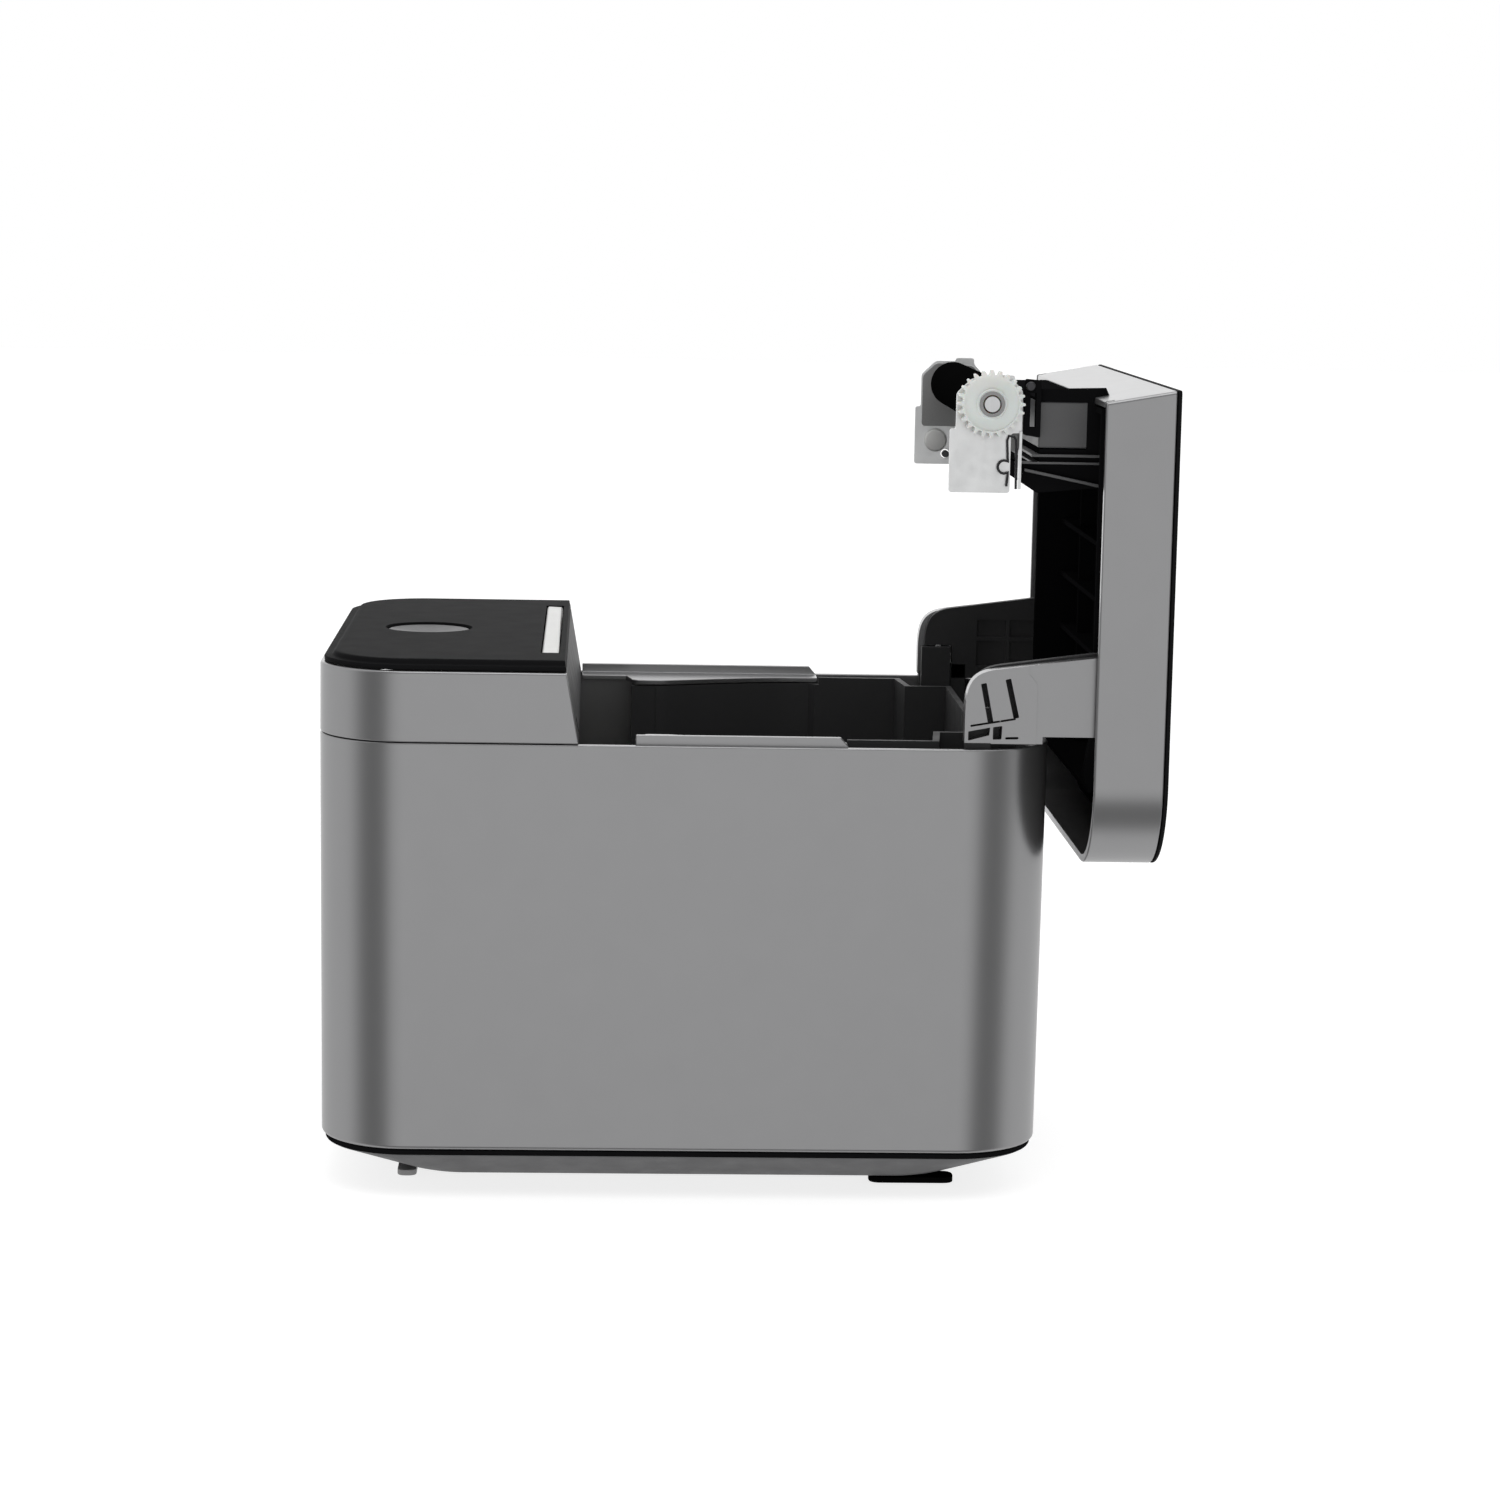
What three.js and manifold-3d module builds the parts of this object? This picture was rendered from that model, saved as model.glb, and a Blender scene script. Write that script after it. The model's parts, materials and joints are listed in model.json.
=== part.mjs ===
// A desktop label printer with a drop-in roll compartment, drawn with its lid open.
// Units are millimetres, +Z is up, the front faces -Y, and +X is the user's right.
import * as THREE from "three";
import { mergeVertices } from "three/addons/utils/BufferGeometryUtils.js";
import Module from "manifold-3d";

const wasm = await Module();
wasm.setup();

// ---- driving dimensions ----
const BODY_WIDTH = 180;
const BODY_DEPTH = 224;
const OPEN_DEPTH = 258.3; // front face to the back of the raised lid
const CORNER_RADIUS = 27.5;
const CORNER_STEPS = 7;
const GAP = 0.3; // space left between touching pieces
const WALL = 2.4;
const BASE_BOTTOM = 2.2;
const BASE_TOP = 13;
const SHELL_BOTTOM = 14.9;
const RIM_TOP = 17.6;
const PARTING = 140.65; // height of the seam between the tub and everything above it
const COVER_TOP = 162.2;
const PANEL_TOP = 165.5;
const LID_TOP = 163.8;
const SHELL_DRAFT = 0.7; // how far the shell draws in at its foot
const FRONT_BLOCK_DEPTH = 79.3; // front face to the exit slot, at the seam
const LID_FRONT = 84.7; // front face to the lid, at the seam
const LID_OVERHANG = 4.3; // how far the shut lid stands out over the rear wall
const SLANT = 3.8 / 21.5; // lean of both faces of the exit slot, per mm of height
const PIVOT_Y = 212.5;
const PIVOT_Z = 118;
const HALF_W = BODY_WIDTH / 2;

// Gear train: platen gear, idler and motor pinion share one module.
const GEAR_MODULE = 0.8;
const PLATEN_TEETH = 24;
const IDLER_TEETH = 32;
const PINION_TEETH = 12;
const GEAR_X0 = 64.6;
const GEAR_X1 = 70.2;
const MESH_PLAY = 0.15;
const PLATEN = { y: 86.8, z: 108.8, radius: 7.4 };
const IDLER_ANGLE = THREE.MathUtils.degToRad(224);
const PINION_ANGLE = THREE.MathUtils.degToRad(250);

// Roll compartment.
const TUB_Y = 151;
const TUB_Z = 88;
const TUB_RADIUS = 52.5;
const TUB_WALL = 1.9;
const GUIDE_X = 56; // inner faces of the side guides at their widest
const GUIDE_PINION_TEETH = 12;
const GUIDE_TRAVEL = 32;

// ---- colours and finishes ----
const FINISH = {
  shell_gray: [0x8e8e8f, 0.42, 0.25],
  panel_black: [0x1c1c1e, 0.35, 0.0],
  base_gray: [0x3d3d3f, 0.6, 0.0],
  inner_black: [0x151516, 0.55, 0.0],
  bar_white: [0xe4e4e2, 0.4, 0.0],
  button_gray: [0x6c6c6e, 0.45, 0.2],
  rubber: [0x0c0c0c, 0.9, 0.0],
  nylon: [0xcfcfca, 0.5, 0.0],
  steel: [0xc4c5c6, 0.3, 1.0],
  aluminium: [0xb4b6b8, 0.35, 1.0],
  board_green: [0x1d5a38, 0.55, 0.0],
  ceramic: [0xd9d4c4, 0.3, 0.0],
  motor_metal: [0x9a9b9c, 0.35, 1.0],
  bronze: [0xa9814e, 0.4, 1.0],
};

// ---- scene groups ----
const part = new THREE.Group();
const printer = new THREE.Group(); // y runs back from the front face
printer.position.y = -OPEN_DEPTH / 2;
part.add(printer);
const lidPivot = new THREE.Group();
lidPivot.position.set(0, PIVOT_Y, PIVOT_Z);
lidPivot.rotation.x = -Math.PI / 2;
printer.add(lidPivot);
const lid = new THREE.Group(); // drawn closed, in the printer's own coordinates
lid.position.set(0, -PIVOT_Y, -PIVOT_Z);
lidPivot.add(lid);

function piece(group, name, geometry, finish) {
  const [color, roughness, metalness] = FINISH[finish];
  const material = new THREE.MeshStandardMaterial({ color, roughness, metalness });
  const mesh = new THREE.Mesh(geometry, material);
  mesh.name = name;
  group.add(mesh);
  return mesh;
}

// ---- solids ----
function solid(geometry) {
  const bare = geometry.clone();
  bare.deleteAttribute("normal");
  bare.deleteAttribute("uv");
  const merged = mergeVertices(bare, 1e-4);
  return new wasm.Manifold(
    new wasm.Mesh({
      numProp: 3,
      vertProperties: new Float32Array(merged.attributes.position.array),
      triVerts: new Uint32Array(merged.index.array),
    }),
  );
}

function geometryOf(manifold) {
  const mesh = manifold.getMesh();
  const geometry = new THREE.BufferGeometry();
  const positions = new THREE.BufferAttribute(mesh.vertProperties, 3);
  geometry.setAttribute("position", positions);
  geometry.setIndex(new THREE.BufferAttribute(mesh.triVerts, 1));
  return geometry;
}

function join(...shapes) {
  return geometryOf(shapes.map(solid).reduce((a, b) => a.add(b)));
}

function cut(body, ...tools) {
  return geometryOf(tools.map(solid).reduce((a, b) => a.subtract(b), solid(body)));
}

function common(a, b) {
  return geometryOf(solid(a).intersect(solid(b)));
}

function block(x0, x1, y0, y1, z0, z1) {
  const geometry = new THREE.BoxGeometry(x1 - x0, y1 - y0, z1 - z0);
  return geometry.translate((x0 + x1) / 2, (y0 + y1) / 2, (z0 + z1) / 2);
}

function extrude(shape, depth, steps = CORNER_STEPS) {
  return new THREE.ExtrudeGeometry(shape, {
    depth,
    bevelEnabled: false,
    curveSegments: steps,
    steps: 1,
  });
}

// A plan outline raised from z0 to z1.
function prismZ(shape, z0, z1, steps) {
  return extrude(shape, z1 - z0, steps).translate(0, 0, z0);
}

// A band between two plan outlines, from z0 to z1.
function ringZ(outside, inside, z0, z1) {
  const shape = new THREE.Shape(outside.getPoints(CORNER_STEPS));
  shape.holes.push(new THREE.Path(inside.getPoints(CORNER_STEPS)));
  return prismZ(shape, z0, z1);
}

// A side outline, drawn as (y, z), running from x0 to x1.
const SIDE_TO_WORLD = new THREE.Matrix4().set(0, 0, 1, 0, 1, 0, 0, 0, 0, 1, 0, 0, 0, 0, 0, 1);
function prismX(shape, x0, x1, steps) {
  return extrude(shape, x1 - x0, steps).applyMatrix4(SIDE_TO_WORLD).translate(x0, 0, 0);
}

function polygon(points) {
  return new THREE.Shape(points.map(([a, b]) => new THREE.Vector2(a, b)));
}

function rodX(radius, x0, x1, y, z, sides = 24) {
  const geometry = new THREE.CylinderGeometry(radius, radius, x1 - x0, sides);
  return geometry.rotateZ(Math.PI / 2).translate((x0 + x1) / 2, y, z);
}

function rodY(radius, y0, y1, x, z, sides = 24) {
  const geometry = new THREE.CylinderGeometry(radius, radius, y1 - y0, sides);
  return geometry.translate(x, (y0 + y1) / 2, z);
}

function rodZ(radius, z0, z1, x, y, sides = 24) {
  const geometry = new THREE.CylinderGeometry(radius, radius, z1 - z0, sides);
  return geometry.rotateX(Math.PI / 2).translate(x, y, (z0 + z1) / 2);
}

function mirrored(geometry) {
  const flipped = geometry.clone().scale(-1, 1, 1);
  const index = flipped.index ? flipped.index.array : null;
  if (!index) {
    const position = flipped.attributes.position;
    const order = [...Array(position.count).keys()];
    for (let i = 0; i < order.length; i += 3) {
      [order[i + 1], order[i + 2]] = [order[i + 2], order[i + 1]];
    }
    flipped.setIndex(order);
    return flipped;
  }
  for (let i = 0; i < index.length; i += 3) {
    [index[i + 1], index[i + 2]] = [index[i + 2], index[i + 1]];
  }
  return flipped;
}

// Adds a right-hand piece and its mirror image.
function pair(group, name, geometry, finish) {
  piece(group, name + "_right", geometry, finish);
  piece(group, name + "_left", mirrored(geometry), finish);
}

// Draws the foot of a body-wide solid in towards the middle, evenly with depth below zHigh.
function taper(geometry, zLow, zHigh, insetX, insetY) {
  const position = geometry.attributes.position;
  const midY = BODY_DEPTH / 2;
  for (let i = 0; i < position.count; i += 1) {
    const t = (zHigh - position.getZ(i)) / (zHigh - zLow);
    const x = position.getX(i) * (1 - (t * insetX) / HALF_W);
    const y = midY + (position.getY(i) - midY) * (1 - (t * insetY) / midY);
    position.setXY(i, x, y);
  }
  return geometry;
}

// The body's plan, drawn in by inset, from y0 to y1, with round corners where asked.
function bodyPlan(inset, y0, y1, roundFront, roundRear) {
  const w = HALF_W - inset;
  const r = CORNER_RADIUS - inset;
  const shape = new THREE.Shape();
  shape.moveTo(0, y0);
  if (roundFront) {
    shape.lineTo(w - r, y0);
    shape.absarc(w - r, y0 + r, r, -Math.PI / 2, 0, false);
  } else {
    shape.lineTo(w, y0);
  }
  if (roundRear) {
    shape.lineTo(w, y1 - r);
    shape.absarc(w - r, y1 - r, r, 0, Math.PI / 2, false);
    shape.lineTo(-w + r, y1);
    shape.absarc(-w + r, y1 - r, r, Math.PI / 2, Math.PI, false);
  } else {
    shape.lineTo(w, y1);
    shape.lineTo(-w, y1);
  }
  if (roundFront) {
    shape.lineTo(-w, y0 + r);
    shape.absarc(-w + r, y0 + r, r, Math.PI, Math.PI * 1.5, false);
  } else {
    shape.lineTo(-w, y0);
  }
  shape.closePath();
  return shape;
}

function wholePlan(inset) {
  return bodyPlan(inset, inset, BODY_DEPTH - inset, true, true);
}

function capsule(length, width) {
  const r = width / 2;
  const h = length / 2 - r;
  const shape = new THREE.Shape();
  shape.moveTo(-h, -r);
  shape.lineTo(h, -r);
  shape.absarc(h, 0, r, -Math.PI / 2, Math.PI / 2, false);
  shape.lineTo(-h, r);
  shape.absarc(-h, 0, r, Math.PI / 2, Math.PI * 1.5, false);
  return shape;
}

// A leaning cutter that clears everything behind (or in front of) one face of the exit slot.
function slotCutter(yAtSeam, toRear) {
  const low = PARTING - 8;
  const high = PANEL_TOP + 4;
  const far = toRear ? yAtSeam + 60 : yAtSeam - 60;
  const outline = [
    [yAtSeam - (low - PARTING) * SLANT, low],
    [yAtSeam - (high - PARTING) * SLANT, high],
    [far, high],
    [far, low],
  ];
  if (toRear) outline.reverse();
  return prismX(polygon(outline), -HALF_W - 5, HALF_W + 5);
}

// ---- gears ----
function pitchRadius(teeth) {
  return (teeth * GEAR_MODULE) / 2;
}

function gearOutline(teeth, phase) {
  const root = pitchRadius(teeth) - GEAR_MODULE;
  const tip = pitchRadius(teeth) + GEAR_MODULE * 0.85;
  const pitch = (Math.PI * 2) / teeth;
  const shape = new THREE.Shape();
  for (let i = 0; i < teeth; i += 1) {
    const middle = phase + i * pitch;
    const corners = [
      [root, -0.3],
      [tip, -0.12],
      [tip, 0.12],
      [root, 0.3],
    ];
    corners.forEach(([radius, share], k) => {
      const angle = middle + share * pitch;
      const y = radius * Math.cos(angle);
      const z = radius * Math.sin(angle);
      if (i + k === 0) shape.moveTo(y, z);
      else shape.lineTo(y, z);
    });
  }
  shape.closePath();
  return shape;
}

function gearX(teeth, phase, x0, x1, y, z, bore) {
  const wheel = prismX(gearOutline(teeth, phase), x0, x1).translate(0, y, z);
  return bore ? cut(wheel, rodX(bore, x0 - 1, x1 + 1, y, z, 20)) : wheel;
}

// Phase of a gear that meshes with another one lying at the given angle from it.
function meshingPhase(otherPhase, otherTeeth, teeth, angleFromOther) {
  const otherPitch = (Math.PI * 2) / otherTeeth;
  const turned = (angleFromOther - otherPhase) / otherPitch;
  const offset = (turned - Math.floor(turned)) * otherPitch;
  return angleFromOther + Math.PI + (offset * otherTeeth) / teeth + Math.PI / teeth;
}

function besideGear(centre, teethA, teethB, angle) {
  const distance = pitchRadius(teethA) + pitchRadius(teethB) + MESH_PLAY;
  return {
    y: centre.y + distance * Math.cos(angle),
    z: centre.z + distance * Math.sin(angle),
  };
}

const IDLER = besideGear(PLATEN, PLATEN_TEETH, IDLER_TEETH, IDLER_ANGLE);
const PINION = besideGear(IDLER, IDLER_TEETH, PINION_TEETH, PINION_ANGLE);
const IDLER_PHASE = meshingPhase(0, PLATEN_TEETH, IDLER_TEETH, IDLER_ANGLE);
const PINION_PHASE = meshingPhase(IDLER_PHASE, IDLER_TEETH, PINION_TEETH, PINION_ANGLE);

// ---- base: tray, rim and feet ----
function basePlate() {
  const insetX = 20;
  const insetY = 24;
  const outer = prismZ(wholePlan(1.8), BASE_BOTTOM, BASE_TOP);
  taper(outer, BASE_BOTTOM, BASE_TOP, insetX, insetY);
  const floor = BASE_BOTTOM + 2.4;
  const inner = prismZ(wholePlan(7), floor, BASE_TOP + 1);
  taper(inner, BASE_BOTTOM, BASE_TOP, insetX, insetY);
  const posts = [];
  for (const x of [-50, 50]) {
    for (const y of [160, 195]) posts.push(rodZ(3, floor - 1, 16, x, y, 12));
  }
  return join(cut(outer, inner), ...posts);
}

function baseRim() {
  const flange = ringZ(wholePlan(1.9), wholePlan(6), BASE_TOP + GAP, SHELL_BOTTOM - GAP);
  const spigot = ringZ(wholePlan(3.6), wholePlan(6), BASE_TOP + GAP, RIM_TOP);
  return join(flange, spigot);
}

const FOOT_X = 60;
piece(printer, "base_plate", basePlate(), "base_gray");
piece(printer, "base_rim", baseRim(), "inner_black");
for (const [name, length, width, y] of [
  ["foot_front", 20, 6, 27.2],
  ["foot_rear", 8.4, 26.5, 185],
]) {
  const along = length > width;
  const pad = prismZ(capsule(Math.max(length, width), Math.min(length, width)), 0, BASE_BOTTOM - GAP, 5);
  if (!along) pad.rotateZ(Math.PI / 2);
  pair(printer, name, pad.translate(along ? FOOT_X - 6 : FOOT_X + 4, y, 0), "rubber");
}

// ---- lower shell with its rear port window ----
const PORT = { x0: -52, x1: 18, z0: 18, z1: 38 };
const REAR_INNER = BODY_DEPTH - WALL;

function lowerShell() {
  const top = PARTING - GAP / 2;
  const walls = ringZ(wholePlan(0), wholePlan(WALL), SHELL_BOTTOM, top);
  taper(walls, SHELL_BOTTOM, top, SHELL_DRAFT, SHELL_DRAFT);
  const window = block(PORT.x0, PORT.x1, REAR_INNER - 5, BODY_DEPTH + 2, PORT.z0, PORT.z1);
  return cut(walls, window);
}
piece(printer, "lower_shell", lowerShell(), "shell_gray");

// ---- front block: gray band, black top panel, exit liner, tear bar ----
const BUTTON = { x: 2, y: 30.4, radius: 13.2 };
const BAR = { halfX: 65.7, y0: 67.7, y1: 72.9 };

function frontCover() {
  const low = PARTING + GAP / 2;
  const outer = prismZ(bodyPlan(0, 0, FRONT_BLOCK_DEPTH + 2, true, false), low, COVER_TOP);
  const inner = prismZ(bodyPlan(WALL, WALL, FRONT_BLOCK_DEPTH + 9, true, false), low - 1, COVER_TOP + 1);
  return cut(outer, inner, slotCutter(FRONT_BLOCK_DEPTH, true));
}

function exitLiner() {
  const thickness = 2.2;
  const low = PARTING + GAP / 2;
  const high = COVER_TOP;
  const face = (z) => FRONT_BLOCK_DEPTH - (z - PARTING) * SLANT;
  const outline = [
    [face(low) - thickness, low],
    [face(low), low],
    [face(high), high],
    [face(high) - thickness, high],
  ];
  const reach = HALF_W - WALL - GAP;
  const wall = prismX(polygon(outline), -reach, reach);
  const backs = [-50, -25, 0, 25, 50].map((x) =>
    block(x - 0.8, x + 0.8, face(high) - 8, face(high) - 1, low + 1, high - 1),
  );
  const gearRoom = block(
    GEAR_X0 - 1.2,
    GEAR_X1 + 0.6,
    FRONT_BLOCK_DEPTH - 6,
    FRONT_BLOCK_DEPTH + 3,
    low - 1,
    low + 5,
  );
  return cut(join(wall, ...backs), gearRoom);
}

function topPanel() {
  const rear = FRONT_BLOCK_DEPTH + 2;
  const step = prismZ(bodyPlan(1.2, 1.2, rear, true, false), COVER_TOP + GAP, 164);
  const crown = prismZ(bodyPlan(4.2, 4.2, rear, true, false), 163.5, PANEL_TOP);
  const hole = rodZ(BUTTON.radius + GAP, 150, 170, BUTTON.x, BUTTON.y, 40);
  const slot = block(-BAR.halfX - GAP, BAR.halfX + GAP, BAR.y0 - GAP, rear + 1, 150, 170);
  return cut(join(step, crown), hole, slot, slotCutter(FRONT_BLOCK_DEPTH, true));
}

piece(printer, "front_cover", frontCover(), "shell_gray");
piece(printer, "exit_liner", exitLiner(), "inner_black");
piece(printer, "top_panel", topPanel(), "panel_black");
piece(
  printer,
  "tear_bar",
  block(-BAR.halfX, BAR.halfX, BAR.y0, BAR.y1, COVER_TOP + GAP, PANEL_TOP - 0.4),
  "bar_white",
);

// ---- feed button, its switch and board ----
const BUTTON_TOP = PANEL_TOP - 0.7;
const BUTTON_FLANGE = COVER_TOP - 0.2;

function feedButton() {
  const r = BUTTON.radius;
  const profile = [
    [0, 156],
    [3, 156],
    [3, BUTTON_FLANGE - 1.6],
    [r + 1.4, BUTTON_FLANGE - 1.6],
    [r + 1.4, BUTTON_FLANGE - 0.2],
    [r, BUTTON_FLANGE - 0.2],
    [r, BUTTON_TOP - 0.3],
    [r - 0.5, BUTTON_TOP],
    [r - 1.6, BUTTON_TOP],
    [r * 0.55, BUTTON_TOP - 0.7],
    [0, BUTTON_TOP - 1],
  ];
  const points = profile.map(([radius, z]) => new THREE.Vector2(radius, z));
  return new THREE.LatheGeometry(points, 32).rotateX(Math.PI / 2).translate(BUTTON.x, BUTTON.y, 0);
}
piece(printer, "feed_button", feedButton(), "button_gray");
piece(
  printer,
  "button_board",
  join(
    block(BUTTON.x - 20, BUTTON.x + 20, BUTTON.y - 12, BUTTON.y + 12, 146, 147.6),
    block(BUTTON.x - 4, BUTTON.x + 4, BUTTON.y - 4, BUTTON.y + 4, 147.5, 152),
    rodZ(2.2, 151.5, 154.4, BUTTON.x, BUTTON.y, 16),
  ),
  "board_green",
);

// ---- mechanism frame: a deck on four legs that carries the head and the button board ----
const FRAME_BACK = 74;
const DECK_Z0 = 136;
const DECK_Z1 = 138.6;

function mechanismFrame() {
  const deck = prismZ(bodyPlan(6, 8, FRAME_BACK, true, false), DECK_Z0, DECK_Z1);
  const shapes = [deck];
  for (const [x, y, low] of [
    [62, 31, 6.4],
    [76.5, 66, 12],
  ]) {
    for (const side of [-x, x]) {
      shapes.push(block(side - 4, side + 4, y - 4, y + 4, low, DECK_Z0 + 1));
    }
  }
  for (const x of [BUTTON.x - 15, BUTTON.x + 15]) {
    shapes.push(rodZ(3, DECK_Z1 - 1, 146 - GAP, x, BUTTON.y, 12));
  }
  const front = block(-62, 62, 22, 24.5, 60, DECK_Z0 + 1);
  shapes.push(front);
  return join(...shapes);
}
piece(printer, "mechanism_frame", mechanismFrame(), "inner_black");

// ---- steel side frames, pivot rod, spring plate ----
const FRAME_X0 = 58;
const FRAME_X1 = 59.6;
const HEAD_PIVOT = { y: 71, z: 131 };

function sideFrame(withDrive) {
  const outline = [
    [41, 56],
    [74, 56],
    [77, 62],
    [77, 90],
    [74.5, 94],
    [74.5, 135.7],
    [52, 135.7],
    [41, 118],
  ];
  const plate = prismX(polygon(outline), FRAME_X0, FRAME_X1);
  const tools = [rodX(1.8, 50, 65, HEAD_PIVOT.y, HEAD_PIVOT.z, 16)];
  if (!withDrive) return cut(plate, ...tools);
  tools.push(rodX(4, 50, 65, PINION.y, PINION.z, 20));
  return join(cut(plate, ...tools), rodX(2, FRAME_X0 + 0.5, GEAR_X1 + 1, IDLER.y, IDLER.z, 16));
}
piece(printer, "side_frame_right", sideFrame(true), "steel");
piece(printer, "side_frame_left", mirrored(sideFrame(false)), "steel");
piece(
  printer,
  "head_pivot_rod",
  rodX(1.5, -FRAME_X1 - 0.6, FRAME_X1 + 0.6, HEAD_PIVOT.y, HEAD_PIVOT.z, 16),
  "steel",
);
piece(
  printer,
  "spring_plate",
  join(
    block(-FRAME_X0 + GAP, FRAME_X0 - GAP, 54, 55.6, 100, 120),
    block(-FRAME_X0 + GAP, FRAME_X0 - GAP, 44, 55.6, 118.6, 120),
  ),
  "steel",
);

// ---- print head: finned carrier, heater bar and two pressure springs ----
const HEAD_HALF = 54;
const HEAD_FRONT = 77.6;

function printHead() {
  const body = block(-HEAD_HALF, HEAD_HALF, 70, HEAD_FRONT, 99, 127);
  const fins = [];
  for (let z = 100; z < 126; z += 4) fins.push(block(-HEAD_HALF, HEAD_HALF, 66, 71, z, z + 1.6));
  const ears = [-40, 40].map((x) => block(x - 6, x + 6, 68, 74.4, 125, 134.4));
  const bore = rodX(1.8, -60, 60, HEAD_PIVOT.y, HEAD_PIVOT.z, 16);
  const seats = [-30, 30].map((x) => block(x - 5, x + 5, 64.5, 71, 103, 113));
  return cut(join(body, ...fins, ...ears, ...seats), bore);
}

function heaterBar() {
  const x = HEAD_HALF - 1;
  const back = HEAD_FRONT + GAP;
  const line = PLATEN.z;
  const outline = [
    [back, line - 5],
    [back + 0.7, line - 5],
    [back + 0.7, line - 1.2],
    [back + 1.1, line - 0.5],
    [back + 1.1, line + 0.5],
    [back + 0.7, line + 1.2],
    [back + 0.7, line + 5],
    [back, line + 5],
  ];
  return prismX(polygon(outline), -x, x);
}

class CoilCurve extends THREE.Curve {
  constructor(radius, turns, length) {
    super();
    this.radius = radius;
    this.turns = turns;
    this.length = length;
  }
  getPoint(t, target = new THREE.Vector3()) {
    const angle = t * this.turns * Math.PI * 2;
    const x = this.radius * Math.cos(angle);
    const z = this.radius * Math.sin(angle);
    return target.set(x, t * this.length, z);
  }
}

function coilSpring(wire, radius, turns, length) {
  const section = new THREE.Shape();
  section.absarc(0, 0, wire, 0, Math.PI * 2, false);
  return new THREE.ExtrudeGeometry(section, {
    steps: turns * 8,
    extrudePath: new CoilCurve(radius, turns, length),
    curveSegments: 4,
    bevelEnabled: false,
  });
}

piece(printer, "print_head", printHead(), "aluminium");
piece(printer, "heater_bar", heaterBar(), "ceramic");
for (const [side, x] of [
  ["left", -30],
  ["right", 30],
]) {
  const spring = coilSpring(0.45, 3, 4, 7.2).translate(x, 56.5, 108);
  piece(printer, "head_spring_" + side, spring, "steel");
}

// ---- drive: stepper motor, pinion and idler ----
function stepperMotor() {
  const can = rodX(17.5, 24, FRAME_X0 - GAP, PINION.y, PINION.z, 32);
  const cap = rodX(15, 21, 24.5, PINION.y, PINION.z, 32);
  const socket = block(30, 44, PINION.y - 21, PINION.y - 16, PINION.z - 5, PINION.z + 5);
  return cut(join(can, cap, socket), rodX(2.2, 48, FRAME_X0 + 1, PINION.y, PINION.z, 16));
}
piece(printer, "stepper_motor", stepperMotor(), "motor_metal");
piece(
  printer,
  "motor_pinion",
  join(
    gearX(PINION_TEETH, PINION_PHASE, GEAR_X0, GEAR_X1, PINION.y, PINION.z, 0),
    rodX(1.6, 49, GEAR_X1 + 0.8, PINION.y, PINION.z, 16),
  ),
  "steel",
);
piece(
  printer,
  "idler_gear",
  cut(
    gearX(IDLER_TEETH, IDLER_PHASE, GEAR_X0, GEAR_X1, IDLER.y, IDLER.z, 2.3),
    cut(
      rodX(10, GEAR_X1 - 1.6, GEAR_X1 + 1, IDLER.y, IDLER.z, 28),
      rodX(4.4, GEAR_X1 - 2, GEAR_X1 + 2, IDLER.y, IDLER.z, 20),
    ),
  ),
  "nylon",
);

// ---- roll compartment: a black tub with a round floor ----
const TUB_TOP = 138.6;
const TUB_REAR_TOP = 141;
const DECK_END = 161;

function tubPlan(offset) {
  const half = [
    [64.3, TUB_Y - TUB_RADIUS],
    [64.3, 107],
    [65.6, 114],
    [68.8, 124],
    [72.4, 134],
    [75.2, 143],
    [76.2, 150],
    [76.2, 158],
    [73.6, 160],
    [73.6, 187.5],
    [54, 189.5],
    [54, TUB_Y + TUB_RADIUS],
  ];
  const right = half.map(([x, y], i) => {
    const end = i === 0 ? -offset : 0;
    const rear = i === half.length - 1 ? offset : 0;
    const lift = i === 9 || i === 10 ? offset : 0;
    return [x + offset, y + end + rear + lift];
  });
  const left = right.map(([x, y]) => [-x, y]).reverse();
  return polygon([...right, ...left]);
}

// Everything inside a round floor of the given radius, open upwards.
function troughBody(radius, top) {
  const shape = new THREE.Shape();
  shape.moveTo(TUB_Y + radius, top);
  shape.lineTo(TUB_Y - radius, top);
  shape.lineTo(TUB_Y - radius, TUB_Z);
  shape.absarc(TUB_Y, TUB_Z, radius, Math.PI, Math.PI * 2, false);
  shape.closePath();
  return prismX(shape, -HALF_W, HALF_W, 20);
}

function rollTub() {
  const outer = common(prismZ(tubPlan(TUB_WALL), 20, TUB_REAR_TOP), troughBody(TUB_RADIUS + TUB_WALL, 150));
  const inner = common(prismZ(tubPlan(0), 20, 150), troughBody(TUB_RADIUS, 160));
  const tools = [
    inner,
    block(-HALF_W, HALF_W, 90, DECK_END + GAP, TUB_TOP, 150),
    block(-64.3, 64.3, 90, 105, 93, 150),
    block(63, 68, 90, 99.6, 93, 150),
  ];
  const post = rodZ(1.6, 34, 44.4, 0, TUB_Y, 12);
  const legs = [];
  for (const x of [-50, 50]) legs.push(block(x - 3, x + 3, 128, 134, 5.2, 44));
  const shell = cut(outer, ...tools);
  return join(shell, post, ...legs.map((leg) => cut(leg, troughBody(TUB_RADIUS + 0.5, 160))));
}
piece(printer, "roll_tub", rollTub(), "inner_black");

// ---- side decks: gray ledges with a raised lip, inside the top of the shell ----
const DECK_TOP = PARTING - 0.1;
const LIP_TOP = 143.4;

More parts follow.
